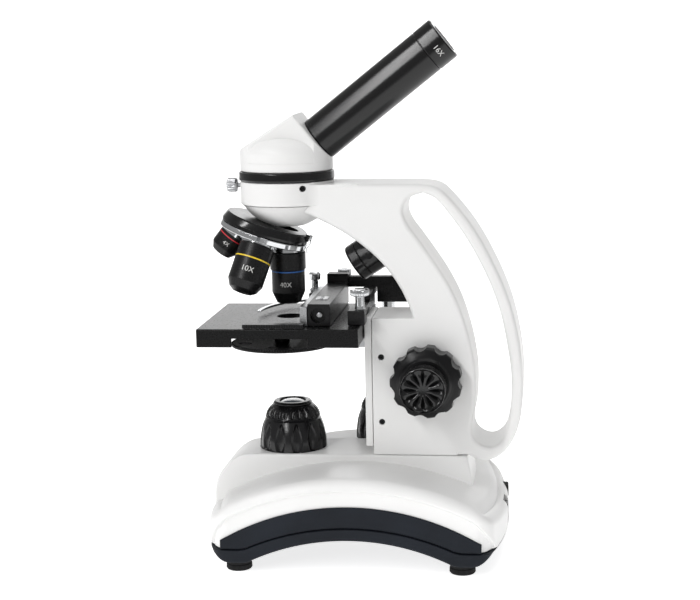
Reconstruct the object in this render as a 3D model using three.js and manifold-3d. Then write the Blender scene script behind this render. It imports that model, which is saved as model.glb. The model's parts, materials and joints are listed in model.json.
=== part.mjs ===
// A monocular student microscope with a two-lamp stand, a four-place nosepiece and a mechanical stage.
// Millimetres, +Z up. X runs from the front of the stage to the carrying handle, Y across the stand.
// The optical axis stands at OPTICAL_AXIS_X, so that the origin is under the middle of the whole object.
import * as THREE from 'three';
import { mergeVertices } from 'three/addons/utils/BufferGeometryUtils.js';
import Module from 'manifold-3d';

const wasm = await Module();
wasm.setup();

// ---------------------------------------------------------------- driving dimensions
const GAP = 0.3;
const OPTICAL_AXIS_X = -43.3;

const BASE = {
  centre: 39.2, halfLength: 84.3, bow: 6.5, halfWidth: 62, corner: 11, wall: 3,
  crown: 54, crownRadius: 158, footTop: 6, seamFloor: 13.5,
  deck: 57.4, deckHalf: 20, deckRight: 101.5,
};
const ARCS = {
  trimTop: [38.7, 140], seam: [26.4, 140], belly: [19.6, 128],
};
const ARM = {
  halfWidth: 20, top: 210, headRadius: 26.4, headTop: 211.3, headBottom: 198.4,
  columnFront: 48.8, columnTop: 135.4, columnFoot: 57.7, boreRadius: 18.1, lightRadius: 11,
};
const CAVITY = { back: 84, half: 12.6, floor: 80, roof: 131 };
const BOWL = { top: 198.1, topRadius: 25.4, rimRadius: 24.6, rim: 197.6, bottom: 184.2, bore: 10 };
const NOSE = { x: -13.6, z: 182.3, tilt: 19, pitch: 13.5, turn: 3, radius: 25.4, thickness: 4.4, plate: 6 };
const HEAD = {
  bottom: 217.1, radius: 26.2, shoulder: 229, peak: 248.6, half: 18.6, crossing: 219.2, incline: 38,
};
const TUBE = { start: 23.9, spigot: 12, radius: 12.6, capStart: 101.5, end: 113.2 };
const STAGE = { left: -45.5, right: 44.1, half: 45, top: 133.5, plate: 3, skirt: 10.2, wall: 3 };
const DISC = { x: -1.5, y: -21.4, radius: 28.5, bottom: 120.9, top: 123 };
const FOCUS = { x: 79.5, z: 101.5, knobBase: 21.5, coarseRadius: 20, fineRadius: 12.4 };
const LAMP = { x: 47.6, z: 169.9, aim: -123, radius: 10.8, front: 12 };
const DIMMER = { x: 48.5, y: 38.5, bottom: 54.4, radius: 16.5 };
const SWITCH = { x: 118.6, z: 21.6, lean: 7, half: 4.3 };
const INLET = { y: 30, z: 23.8, radius: 5.5 };

// ---------------------------------------------------------------- materials
function finish(color, roughness, metalness) {
  return new THREE.MeshStandardMaterial({ color, roughness, metalness });
}
const WHITE = finish(0xeeede9, 0.3, 0);
const BLACK = finish(0x141517, 0.35, 0);
const SATIN_BLACK = finish(0x1b1c1e, 0.5, 0.2);
const CHROME = finish(0xd8dadc, 0.12, 1);
const STEEL = finish(0xa9abad, 0.35, 1);
const BRASS = finish(0xb08a45, 0.35, 1);
const RUBBER = finish(0x0e0e0f, 0.85, 0);
const GLASS = finish(0xcfe2ea, 0.05, 0);
const BOARD = finish(0x1f5a35, 0.6, 0);

// ---------------------------------------------------------------- solids
// Closed triangle mesh with shared corners, no slivers and its faces pointing out.
function clean(geometry) {
  const bare = geometry.clone();
  bare.deleteAttribute('normal');
  bare.deleteAttribute('uv');
  const merged = mergeVertices(bare, 1e-4);
  const place = merged.attributes.position;
  const corners = [];
  let volume = 0;
  const [a, b, c] = [new THREE.Vector3(), new THREE.Vector3(), new THREE.Vector3()];
  for (let i = 0; i < merged.index.count; i += 3) {
    const [p, q, r] = [0, 1, 2].map((k) => merged.index.getX(i + k));
    if (p === q || q === r || r === p) continue;
    corners.push(p, q, r);
    a.fromBufferAttribute(place, p);
    b.fromBufferAttribute(place, q);
    c.fromBufferAttribute(place, r);
    volume += a.dot(b.cross(c));
  }
  if (volume < 0) corners.reverse();
  const result = new THREE.BufferGeometry();
  result.setAttribute('position', new THREE.BufferAttribute(new Float32Array(place.array), 3));
  result.setIndex(corners);
  return result;
}

function toManifold(geometry) {
  const mesh = clean(geometry);
  return new wasm.Manifold(new wasm.Mesh({
    numProp: 3,
    vertProperties: mesh.attributes.position.array,
    triVerts: new Uint32Array(mesh.index.array),
  }));
}

function fromManifold(manifold) {
  const mesh = manifold.getMesh();
  const geometry = new THREE.BufferGeometry();
  geometry.setAttribute('position', new THREE.BufferAttribute(new Float32Array(mesh.vertProperties), 3));
  geometry.setIndex(Array.from(mesh.triVerts));
  return geometry;
}

function join(first, ...others) {
  return fromManifold(others.reduce((sum, part) => sum.add(toManifold(part)), toManifold(first)));
}

function cut(body, ...tools) {
  return fromManifold(tools.reduce((rest, tool) => rest.subtract(toManifold(tool)), toManifold(body)));
}

function common(first, second) {
  return fromManifold(toManifold(first).intersect(toManifold(second)));
}

function block(x0, x1, y0, y1, z0, z1) {
  const box = new THREE.BoxGeometry(x1 - x0, y1 - y0, z1 - z0);
  return box.translate((x0 + x1) / 2, (y0 + y1) / 2, (z0 + z1) / 2);
}

// A turned solid about Z. The profile lists [radius, height] and starts and ends on the axis or is a ring.
function turned(profile, segments = 22) {
  const points = profile.map(([radius, height]) => new THREE.Vector2(radius, height));
  const isRing = profile[0][0] > 0 || profile[profile.length - 1][0] > 0;
  if (isRing) points.push(points[0].clone());
  return new THREE.LatheGeometry(points, segments).rotateX(Math.PI / 2);
}

function rod(radius, z0, z1, segments = 16) {
  return turned([[0, z0], [radius, z0], [radius, z1], [0, z1]], segments);
}

function ring(inner, outer, z0, z1, segments = 22) {
  return turned([[inner, z0], [outer, z0], [outer, z1], [inner, z1]], segments);
}

function extruded(shape, depth, curveSegments) {
  return new THREE.ExtrudeGeometry(shape, { depth, bevelEnabled: false, curveSegments });
}

// A shape drawn in X and Z, pulled along Y from -half to half.
function sideways(shape, half, curveSegments = 10) {
  return extruded(shape, 2 * half, curveSegments).translate(0, 0, -half).rotateX(Math.PI / 2);
}

// A shape drawn in X and Y, pulled up from z0 to z1.
function upward(shape, z0, z1, curveSegments = 10) {
  return extruded(shape, z1 - z0, curveSegments).translate(0, 0, z0);
}

// Turns a solid made about Z so that its axis lies along Y, its top towards -Y.
function towardsNear(geometry) {
  return geometry.rotateX(Math.PI / 2);
}

function towardsFar(geometry) {
  return geometry.rotateX(-Math.PI / 2);
}

// Turns a solid made about Z so that its top points along +X.
function towardsRight(geometry) {
  return geometry.rotateY(Math.PI / 2);
}

function polygon(points) {
  return new THREE.Shape(points.map(([x, y]) => new THREE.Vector2(x, y)));
}

function vectors(points) {
  return points.map(([x, y]) => new THREE.Vector2(x, y));
}

function add(parent, name, geometry, material) {
  const mesh = new THREE.Mesh(clean(geometry), material);
  mesh.name = name;
  parent.add(mesh);
  return mesh;
}

function group(parent, x = 0, y = 0, z = 0) {
  const inner = new THREE.Group();
  inner.position.set(x, y, z);
  parent.add(inner);
  return inner;
}

// ---------------------------------------------------------------- base
// Height of an arch at x, from its crown height and radius.
function archHeight([crown, radius], x) {
  const run = x - BASE.centre;
  return crown - radius + Math.sqrt(radius * radius - run * run);
}

function archPoints(arc, from, to, steps = 12) {
  const points = [];
  for (let i = 0; i <= steps; i += 1) {
    const x = from + ((to - from) * i) / steps;
    points.push([x, archHeight(arc, x)]);
  }
  return points;
}

// Plan of the base: long straight sides, slightly bowed ends and rounded corners.
function basePlan(inset, z0, z1) {
  const side = BASE.halfWidth - inset;
  const end = BASE.halfLength - BASE.bow - inset;
  const corner = BASE.corner - inset;
  const [left, right] = [BASE.centre - end, BASE.centre + end];
  const shape = new THREE.Shape();
  shape.moveTo(left + corner, -side);
  shape.lineTo(right - corner, -side);
  shape.quadraticCurveTo(right, -side, right + 1, -side + corner);
  shape.quadraticCurveTo(right + 2 * BASE.bow - 1, 0, right + 1, side - corner);
  shape.quadraticCurveTo(right, side, right - corner, side);
  shape.lineTo(left + corner, side);
  shape.quadraticCurveTo(left, side, left - 1, side - corner);
  shape.quadraticCurveTo(left - 2 * BASE.bow + 1, 0, left - 1, -side + corner);
  shape.quadraticCurveTo(left, -side, left + corner, -side);
  return upward(shape, z0, z1, 5);
}

// The seam between the white housing and the black tray: an arch that ends in two level shoulders.
function seamPoints(lift) {
  const arc = [ARCS.seam[0] + lift, ARCS.seam[1]];
  const drop = ARCS.seam[0] - BASE.seamFloor;
  const reach = Math.sqrt(2 * ARCS.seam[1] * drop - drop * drop);
  const level = BASE.seamFloor + lift;
  const middle = archPoints(arc, BASE.centre - reach, BASE.centre + reach);
  return [[BASE.centre - 95, level], ...middle, [BASE.centre + 95, level]];
}

function baseHousing() {
  const ends = [BASE.centre - 90, BASE.centre + 90];
  const crown = [BASE.crown, BASE.crownRadius];
  const outline = [...seamPoints(GAP / 2), ...archPoints(crown, ends[1], ends[0])];
  const deck = polygon([
    [-43, 20], [BASE.deckRight, 20], [BASE.deckRight, BASE.deck], [-21, BASE.deck],
    [-28, 56], [-35, 51.5], [-40.5, 44.5], [-43, 36],
  ]);
  const shell = join(sideways(polygon(outline), 70), sideways(deck, BASE.deckHalf));
  const outside = common(shell, basePlan(0, 5, 70));
  const roof = [BASE.crown - BASE.wall, BASE.crownRadius - BASE.wall];
  const hollowShape = polygon([[ends[0], 0], [ends[1], 0], ...archPoints(roof, ends[1], ends[0])]);
  const hollow = common(sideways(hollowShape, 70), basePlan(BASE.wall, 0, 60));
  const window = sideways(trimShape(0), 80);
  const pocket = block(119.8, 130, -6.5, 6.5, 14.6, 28.6);
  const switchHole = block(100, 130, -4.8, 4.8, 16, 27.2);
  const wallPad = common(block(113, 121.5, -9, 9, 14.2, 34), outside);
  const inletHole = towardsRight(rod(INLET.radius + GAP, 100, 140)).translate(0, INLET.y, INLET.z);
  const dimmerHole = rod(3.4, 40, 70).translate(DIMMER.x, DIMMER.y, 0);
  const wireHole = rod(4, 40, 70);
  const padded = join(cut(outside, hollow), wallPad);
  return cut(padded, window, pocket, switchHole, inletHole, dimmerHole, wireHole);
}

// The dark band let into each long side, between the housing's lower edge and the seam.
function trimShape(inset) {
  const [left, right] = [BASE.centre - 72 + inset, BASE.centre + 72 - inset];
  const top = [ARCS.trimTop[0] - inset, ARCS.trimTop[1]];
  const drop = ARCS.seam[0] - BASE.seamFloor;
  const reach = Math.sqrt(2 * ARCS.seam[1] * drop - drop * drop);
  const level = BASE.seamFloor + inset;
  const seam = archPoints([ARCS.seam[0] + inset, ARCS.seam[1]], BASE.centre - reach, BASE.centre + reach);
  return polygon([[left, level], ...seam, [right, level], ...archPoints(top, right, left)]);
}

function sideTrim(side) {
  const panel = sideways(trimShape(GAP), 1.2);
  return panel.translate(0, side * (BASE.halfWidth - 2.2), 0);
}

function baseTray() {
  const reach = 57.4;
  const seam = seamPoints(-GAP / 2);
  const belly = archPoints(ARCS.belly, BASE.centre + reach, BASE.centre - reach);
  const floor = [[BASE.centre + 75, BASE.footTop], ...belly, [BASE.centre - 75, BASE.footTop]];
  const outline = polygon([...seam, ...floor]);
  const outside = common(sideways(outline, 70), basePlan(0.2, 5, 40));
  const lift = 2.6;
  const bellyTop = archPoints([ARCS.belly[0] + lift, ARCS.belly[1]], BASE.centre + reach, BASE.centre - reach);
  const insideFloor = [[BASE.centre + 72, BASE.footTop + lift], ...bellyTop,
    [BASE.centre - 72, BASE.footTop + lift]];
  const inside = polygon([[BASE.centre - 72, 60], [BASE.centre + 72, 60], ...insideFloor]);
  const hollow = common(sideways(inside, 70), basePlan(BASE.wall, 0, 60));
  return cut(outside, hollow);
}

function foot() {
  return turned([[0, 1.2], [4, 1.2], [4.6, 0], [6.6, 0], [7.2, 0.8], [7, 5.7], [0, 5.7]], 16);
}

function rockerBezel() {
  const frame = block(120.1, 121.6, -6.2, 6.2, 14.9, 28.3);
  return cut(frame, block(110, 130, -4.6, 4.6, 16.2, 27));
}

// The rocker is pressed in at its lower half, as it is when the lamp is off.
function rockerSwitch() {
  const section = polygon([[-4, -3.6], [4.4, -4.6], [3.9, 0], [4.4, 4.6], [-4, 3.6]]);
  return sideways(section, SWITCH.half).rotateY(THREE.MathUtils.degToRad(SWITCH.lean));
}

// Round low-voltage socket with a centre pin.
function powerInlet() {
  return towardsRight(turned([
    [0, 110], [INLET.radius, 110], [INLET.radius, 122.6], [2.9, 122.6], [2.9, 112.5], [0, 112.5],
  ], 16));
}

// Driver board with its parts, and the cable that runs to the lamp's own board under the deck's window.
function driverBoard() {
  const board = block(38, 100, -25, 48, 27.3, 28.9);
  const transformer = block(62, 80, -18, 4, 28.5, 42);
  const capacitor = rod(5, 28.5, 37, 8).translate(88, 12, 0);
  const dimmer = rod(8, 28.5, 49.2, 12).translate(DIMMER.x, DIMMER.y, 0);
  const shaft = rod(3, 49, 66, 12).translate(DIMMER.x, DIMMER.y, 0);
  const cable = block(-2, 39, -2, 2, 27.3, 28.9);
  const riser = rod(2, 28, BASE.deck + 5, 8);
  const lampBoard = turned([[0, 4], [11, 4], [11, 5.6], [3, 5.6], [2.6, 8], [0, 9]], 14)
    .translate(0, 0, BASE.deck + GAP);
  return join(board, transformer, capacitor, dimmer, shaft, cable, riser, lampBoard);
}

// Ribbed dome shared by the lamp on the deck and the brightness knob.
function domeProfile(base) {
  const shrink = base / 19.3;
  return [
    [base, 0], [18.9 * shrink, 6], [16.1 * shrink, 16.6], [15.2 * shrink, 17], [15.2 * shrink, 17.8],
    [15.8 * shrink, 18.2], [13.9 * shrink, 22], [11.4 * shrink, 25],
  ];
}

function brightnessKnob() {
  const dome = [...domeProfile(DIMMER.radius), [8, 25.6], [0, 25.6]];
  const solid = turned([[0, 0], ...dome], 20);
  return cut(solid, rod(3.2, -1, 12)).translate(DIMMER.x, DIMMER.y, DIMMER.bottom);
}

function buildBase(instrument) {
  const base = group(instrument);
  add(base, 'base_housing', baseHousing(), WHITE);
  add(base, 'base_tray', baseTray(), BLACK);
  add(base, 'side_trim_near', sideTrim(-1), BLACK);
  add(base, 'side_trim_far', sideTrim(1), BLACK);
  const feet = [[-24, -50], [100, -50], [100, 50], [-24, 50]];
  feet.forEach(([x, y], i) => add(group(base, x, y, 0), `foot_${i + 1}`, foot(), RUBBER));
  add(base, 'rocker_bezel', rockerBezel(), BLACK);
  add(group(base, SWITCH.x, 0, SWITCH.z), 'rocker_switch', rockerSwitch(), BLACK);
  add(group(base, 0, INLET.y, INLET.z), 'power_inlet', powerInlet(), BLACK);
  add(base, 'driver_board', driverBoard(), BOARD);
  add(base, 'brightness_knob', brightnessKnob(), BLACK);
}

// ---------------------------------------------------------------- lamp on the deck
function illuminatorHousing() {
  const outside = domeProfile(19.3);
  const inside = [[9.1, 25], [9.1, 23.5], [12.6, 17], [15.6, 6], [16.3, 0]];
  return turned([...outside, ...inside], 26);
}

function buildIlluminator(instrument) {
  const lamp = group(instrument, 0, 0, BASE.deck + GAP);
  add(lamp, 'illuminator_housing', illuminatorHousing(), BLACK);
  const cap = [[7.4, 23], [8.7, 23], [8.7, 25.3], [11.2, 25.3], [10.5, 27], [7.4, 27]];
  add(lamp, 'illuminator_cap', turned(cap, 22), BLACK);
  const lens = [[0, 23.4], [7.1, 23.4], [7.1, 26], [4.6, 26.9], [0, 27.4]];
  add(lamp, 'condenser_lens', turned(lens, 16), GLASS);
}

// ---------------------------------------------------------------- arm
// Side view of the casting: head boss, arm, carrying handle and column, drawn as one closed curve.
function armShape() {
  const shape = new THREE.Shape();
  shape.moveTo(ARM.columnFront, ARM.columnFoot);
  shape.lineTo(101.8, ARM.columnFoot);
  shape.splineThru(vectors([
    [110.5, 54.6], [119.5, 57.6], [126.5, 66], [131, 79], [132.5, 98], [131.2, 118], [126.6, 141],
    [118, 163.5], [106, 185.6], [92, 203.2], [84.5, 208.6], [74, ARM.top],
  ]));
  shape.lineTo(0, ARM.top);
  shape.lineTo(0, 197);
  shape.splineThru(vectors([
    [8, 195.4], [18, 191.8], [36, 182], [52.5, 168.8], [64, 153.8], [70.8, 139], [71.2, ARM.columnTop],
  ]));
  shape.lineTo(ARM.columnFront, ARM.columnTop);
  shape.closePath();
  return shape;
}

// The hand hole behind the column, a long crescent.
function handleHole() {
  const shape = new THREE.Shape();
  shape.moveTo(78, 205);
  shape.splineThru(vectors([
    [70.5, 202], [67.3, 195], [69.8, 187.3], [75.5, 179.5], [88.5, 160.4], [97, 143.7], [102.6, 126],
    [105.6, 110], [106.4, 98], [105.7, 84], [104, 74], [105.4, 67.4], [110.6, 63.3], [116.6, 63.3],
    [122, 68.5], [124.6, 79], [126, 92], [126, 104], [124.2, 118], [120.7, 136.3], [115, 153.5],
    [107.8, 169], [100.6, 181.6], [93, 192.4], [85.2, 201.7], [78, 205],
  ]));
  return sideways(shape, 40, 2);
}

function armCasting() {
  const side = sideways(armShape(), ARM.halfWidth, 3);
  const boss = turned([
    [0, ARM.headBottom], [25.8, ARM.headBottom], [ARM.headRadius, ARM.headBottom + 0.8],
    [ARM.headRadius, ARM.headTop], [0, ARM.headTop],
  ], 26);
  const headBore = rod(ARM.boreRadius, 203.5, 220, 22);
  const lightBore = rod(ARM.lightRadius, 190, 220, 16);
  const bowlSeat = turned([
    [0, 170], [0, ARM.headBottom], [BOWL.topRadius + GAP, ARM.headBottom], ...bowlArc(GAP), [10, 170],
  ], 26);
  const slideWay = block(40, CAVITY.back, -CAVITY.half, CAVITY.half, CAVITY.floor, CAVITY.roof);
  const shaftHole = towardsNear(rod(3.8, -40, 40, 14)).translate(FOCUS.x, 0, FOCUS.z);
  const lockHole = towardsRight(rod(1.6, -40, 0, 8)).translate(0, 0, 208.7);
  const screwHole = (x, z) => towardsNear(rod(1.75, 14, 30, 8)).translate(x, 0, z);
  const lampPocket = lampFrame(rod(13.2, -12.5, 40, 18));
  const lampPivot = towardsNear(rod(2.1, -17, 17, 8)).translate(LAMP.x, 0, LAMP.z);
  return cut(
    join(side, boss), headBore, lightBore, bowlSeat, slideWay, shaftHole, lockHole, handleHole(),
    screwHole(53.8, 113.5), screwHole(53.8, 76.6), screwHole(12.3, 208.2), lampPocket, lampPivot,
  );
}

function columnFrontPlate() {
  const plate = block(44.6, 48.5, -19.8, 19.8, 62.6, ARM.columnTop);
  const slot = block(40, 50, -9.4, 9.4, 101.5, CAVITY.roof);
  return cut(plate, slot);
}

function setScrew(depth) {
  return towardsNear(cut(rod(1.45, 0, depth, 8), rod(0.8, depth - 1.5, depth + 1, 6)));
}

// Ball-shaped underside of the head boss, from its rim down to the bottom.
function bowlArc(offset) {
  const rise = BOWL.rim - BOWL.bottom;
  const radius = (BOWL.rimRadius ** 2 + rise ** 2) / (2 * rise);
  const steps = 6;
  const from = Math.asin(BOWL.rimRadius / radius);
  const to = Math.asin(BOWL.bore / radius);
  const points = [];
  for (let i = 0; i <= steps; i += 1) {
    const angle = from + ((to - from) * i) / steps;
    const reach = radius + offset;
    points.push([reach * Math.sin(angle), BOWL.bottom + radius - reach * Math.cos(angle)]);
  }
  return points;
}

function nosepieceBowl() {
  const body = turned([[BOWL.bore, BOWL.top], [BOWL.topRadius, BOWL.top], ...bowlArc(0)].reverse(), 26);
  const below = noseFrame(block(-60, 60, -60, 60, -60, NOSE.plate + GAP));
  return cut(body, below);
}

// The head lock screw: a knurled head on a thin shank, pressing on the head's spigot.
function lockScrew() {
  const profile = [[0, 0], [1.25, 0.6], [1.25, 10], [2.4, 10.3], [3.7, 10.6], [3.95, 11.4],
    [3.95, 15.8], [3.2, 16.4], [0, 16.4]];
  return turned(profile, 14).rotateY(-Math.PI / 2);
}

function buildArm(instrument) {
  const arm = group(instrument);
  add(arm, 'arm', armCasting(), WHITE);
  add(arm, 'column_front_plate', columnFrontPlate(), WHITE);
  add(group(arm, 53.8, -ARM.halfWidth + 4.6, 113.5), 'column_screw_upper', setScrew(4), BLACK);
  add(group(arm, 53.8, -ARM.halfWidth + 4.6, 76.6), 'column_screw_lower', setScrew(4), BLACK);
  add(group(arm, 12.3, -19, 208.2), 'head_set_screw', setScrew(3.6), BLACK);
  add(arm, 'nosepiece_bowl', nosepieceBowl(), WHITE);
  add(group(arm, -18, 0, 208.7), 'head_lock_screw', lockScrew(), STEEL);
}

// ---------------------------------------------------------------- nosepiece
// Carries a solid from the nosepiece's own frame, whose Z is the turret's axle, into the stand.
function noseFrame(geometry) {
  return geometry.rotateY(THREE.MathUtils.degToRad(NOSE.tilt)).translate(NOSE.x, 0, NOSE.z);
}

function sinDegrees(angle) {
  return Math.sin(THREE.MathUtils.degToRad(angle));
}

function cosDegrees(angle) {
  return Math.cos(THREE.MathUtils.degToRad(angle));
}

// Carries a solid made about an objective's own axis to one of the places on the turret.
function placeFrame(geometry, turn) {
  const tilted = geometry.rotateY(THREE.MathUtils.degToRad(-NOSE.tilt)).translate(NOSE.pitch, 0, 0);
  return tilted.rotateZ(THREE.MathUtils.degToRad(turn + NOSE.turn));
}

function nosepieceBase() {
  const profile = [[3.4, 0.4], [25.2, 0.4], [25.2, 1.6], [23.6, NOSE.plate], [3.4, NOSE.plate]];
  const lightHole = placeFrame(rod(6.6, -10, 20, 14), -NOSE.turn);
  const springSeat = towardsRight(rod(1.8, 20, 25.3, 12)).translate(0, 0, 4.1);
  return cut(join(turned(profile, 26), springSeat), lightHole);
}

// Bent strip that clicks into the turret, with its screw near the top.
function clickSpring() {
  const strip = [[25.6, 7.4], [26.1, 7.4], [27.3, 2], [26.3, -1.4], [27.3, -4.6], [26.8, -4.6], [25.8, -1.4],
    [26.8, 2]];
  const screw = towardsRight(rod(1.7, 25.9, 27.5, 12)).translate(0, 0, 4.6);
  return join(sideways(polygon(strip), 2, 1), screw);
}

function turretPlate() {
  const plate = turned([
    [0, -NOSE.thickness], [15, -NOSE.thickness], [24.8, -3.3], [NOSE.radius, -2.8], [NOSE.radius, -0.4],
    [25, 0], [3, 0], [3, 5.4], [0, 5.4],
  ], 30);
  const turns = [0, 90, 180, 270];
  const collars = join(...turns.map((turn) => placeFrame(rod(9.4, -7.1, 2, 16), turn)));
  const belowTop = block(-40, 40, -40, 40, -40, -0.5);
  const sockets = turns.map((turn) => placeFrame(rod(6.7, -12, 8, 14), turn));
  return cut(join(plate, common(collars, belowTop)), ...sockets);
}

const THREAD = [[2.5, -2.6], [6.4, -2.6], [6.4, -7.4]];

function objective(outside, tip) {
  return turned([...THREAD, ...outside, [2.5, tip]], 20);
}

const OBJECTIVE_4X = [[7.8, -7.4], [8.1, -7.7], [8.1, -16.8], [6, -20.2], [5.6, -21]];
const OBJECTIVE_10X = [[9.8, -7.4], [10.1, -7.8], [10.1, -28.7], [7.9, -33], [5.2, -34.8]];
const OBJECTIVE_40X = [[9.9, -7.4], [10.2, -7.8], [10.2, -17.2], [9.45, -17.8], [9.45, -30.3], [6.8, -36.2],
  [5.4, -37]];

function dustPlug() {
  return turned([[0, -2.6], [6.4, -2.6], [6.4, -7.4], [8.8, -7.4], [9, -8], [8.6, -10.4], [0, -10.8]], 16);
}

function buildNosepiece(instrument) {
  const nose = group(instrument, NOSE.x, 0, NOSE.z);
  nose.rotation.y = THREE.MathUtils.degToRad(NOSE.tilt);
  add(nose, 'nosepiece_base', nosepieceBase(), BLACK);
  add(nose, 'click_spring', clickSpring(), CHROME);
  add(nose, 'turret', turretPlate(), CHROME);
  add(nose, 'objective_40x', placeFrame(objective(OBJECTIVE_40X, -37.2), 0), BLACK);
  add(nose, 'objective_10x', placeFrame(objective(OBJECTIVE_10X, -35), -90), BLACK);
  add(nose, 'objective_4x', placeFrame(objective(OBJECTIVE_4X, -21.2), 180), BLACK);
  add(nose, 'nosepiece_plug', placeFrame(dustPlug(), 90), BLACK);
}

// ---------------------------------------------------------------- head
// Collar that turns in the bore of the arm; the lock screw bears on its waist.
function headSpigot() {
  return turned([
    [14.5, 204.5], [17.7, 204.5], [17.1, 208.5], [17.7, 211.3], [14.5, 211.3],
  ], 28);
}

// Slanted block that carries the eyepiece tube, over a round turntable.
function headHousing() {
  const table = turned([
    [0, HEAD.bottom], [HEAD.radius, HEAD.bottom], [HEAD.radius, HEAD.shoulder - 1.5],
    [HEAD.radius - 1.5, HEAD.shoulder], [0, HEAD.shoulder + 1],
  ], 26);
  const face = HEAD.crossing + (TUBE.start - GAP) / sinDegrees(HEAD.incline);
  const slope = cosDegrees(HEAD.incline) / sinDegrees(HEAD.incline);
  const wedge = polygon([
    [-24, HEAD.bottom], [-24, 229.6], [(face - HEAD.peak) / slope, HEAD.peak],
    [25.6, face - 25.6 * slope], [25.6, HEAD.bottom],
  ]);
  const round = rod(HEAD.radius - 0.1, HEAD.bottom - 2, HEAD.peak + 2, 26);
  const solid = join(table, common(sideways(wedge, HEAD.half), round));
  const lightBore = rod(13, 210, 232, 18);
  const beyondFace = tubeFrame(rod(50, TUBE.start - GAP, 100, 6));
  return cut(solid, lightBore, tubeFrame(rod(12.3, 0, 60, 18)), beyondFace);
}

// Carries a solid from the tube's own frame, whose Z runs up the tube, into the head.
function tubeFrame(geometry) {
  const turn = THREE.MathUtils.degToRad(90 - HEAD.incline);
  return geometry.rotateY(turn).translate(0, 0, HEAD.crossing);
}

function headPrism() {
  const section = polygon([[-6.5, 220], [6.5, 220], [6.5, 226], [-1, 230], [-6.5, 230]]);
  return sideways(section, 6.5);
}

function eyepieceTube() {
  return turned([
    [10.2, TUBE.spigot], [12, TUBE.spigot], [12, TUBE.start], [TUBE.radius, TUBE.start + 0.6],
    [TUBE.radius, TUBE.capStart - GAP], [11.75, TUBE.capStart - GAP], [11.75, 56], [10.2, 55],
  ], 22);
}

function eyepiece() {
  return turned([
    [9.2, 58], [11.6, 58], [11.6, TUBE.capStart], [12.7, TUBE.capStart], [12.7, TUBE.end - 0.8],
    [12, TUBE.end], [7.6, TUBE.end], [7.6, 111], [9.2, 110.6],
  ], 22);
}

function buildHead(instrument) {
  const head = group(instrument);
  add(head, 'head_ring', ring(14.5, 27, 211.6, 216.8, 28), BLACK);
  add(head, 'head_spigot', headSpigot(), BLACK);
  add(head, 'head_housing', headHousing(), WHITE);
  add(head, 'head_prism', headPrism(), GLASS);
  const tube = group(head, 0, 0, HEAD.crossing);
  tube.rotation.y = THREE.MathUtils.degToRad(90 - HEAD.incline);
  add(tube, 'eyepiece_tube', eyepieceTube(), BLACK);
  add(tube, 'eyepiece', eyepiece(), BLACK);
  const lens = [[0, 107.2], [8.9, 107.8], [8.9, 109.6], [0, 110.4]];
  add(tube, 'eyepiece_lens', turned(lens, 16), GLASS);
}

// ---------------------------------------------------------------- focus drive
function coarseKnob() {
  const body = turned([
    [3.7, 0], [18.6, 0], [FOCUS.coarseRadius, 1.4], [FOCUS.coarseRadius, 11.8], [18, 14.2],
    [13.6, 16.4], [3.7, 16.4],
  ], 22);
  const scallops = [];
  const count = 11;
  for (let i = 0; i < count; i += 1) {
    const angle = (2 * Math.PI * i) / count;
    const reach = FOCUS.coarseRadius + 2.6;
    const notch = rod(4.6, -1, 20, 8).translate(reach * Math.cos(angle), reach * Math.sin(angle), 0);
    scallops.push(notch);
  }
  return cut(body, ...scallops);
}

function fineKnob() {
  const edge = FOCUS.fineRadius;
  return turned([
    [1.9, 16.9], [edge - 0.4, 16.9], [edge, 17.8], [edge, 31.4], [edge - 0.9, 32.6], [3.6, 29.8],
    [0, 29.6], [0, 27.5], [1.9, 27.5],
  ], 22);
}

function focusPinion() {
  const shaft = ring(1.9, 3.4, -36.5, 36.5, 14);
  const pinion = ring(3, 3.6, -6, 6, 14);
  return towardsNear(join(shaft, pinion));
}

function buildFocus(instrument) {
  const drive = group(instrument, FOCUS.x, 0, FOCUS.z);
  const near = group(drive, 0, -FOCUS.knobBase, 0);
  const far = group(drive, 0, FOCUS.knobBase, 0);
  add(near, 'coarse_knob_near', towardsNear(coarseKnob()), BLACK);
  add(far, 'coarse_knob_far', towardsFar(coarseKnob()), BLACK);
  add(drive, 'focus_pinion', focusPinion(), STEEL);
  add(near, 'fine_knob_near', towardsNear(fineKnob()), BLACK);
  add(far, 'fine_knob_far', towardsFar(fineKnob()), BLACK);
  add(drive, 'fine_shaft', towardsNear(rod(1.6, -48.6, 48.6, 12)), STEEL);
}

// ---------------------------------------------------------------- stage
function stagePlate() {
  const bottom = STAGE.top - STAGE.skirt;
  const under = STAGE.top - STAGE.plate;
  const body = block(STAGE.left, STAGE.right, -STAGE.half, STAGE.half, bottom, STAGE.top);
  const inner = STAGE.half - STAGE.wall;
  const hollow = block(STAGE.left + STAGE.wall, STAGE.right - STAGE.wall, -inner, inner, 100, under);
  const hub = rod(4.2, DISC.top + GAP, under + 0.5, 12).translate(DISC.x, DISC.y, 0);
  const lightHole = rod(7.5, 120, 140, 16);
  const screwHole = rod(2, 118, 129, 8).translate(DISC.x, DISC.y, 0);
  const discSlot = block(-26.2, 16.8, -60, -40, 100, bottom + 5);
  const bracketGap = block(40, 50, -9.4, 9.4, 100, under);
  return cut(join(cut(body, hollow), hub), lightHole, screwHole, discSlot, bracketGap);
}

// Carries the stage: a bracket under the plate and the slide that runs in the column.
function stageCarrier() {
  const shelf = block(14, 43.8, -8.6, 8.6, 124.8, 130.2);
  const drop = block(36, 43.8, -8.6, 8.6, 117, 130.2);
  const neck = block(36, 60, -8.6, 8.6, 117, 126);
  const slide = block(53, 72, -12, 12, 100, 126);
  return join(shelf, drop, neck, slide);
}

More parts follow.
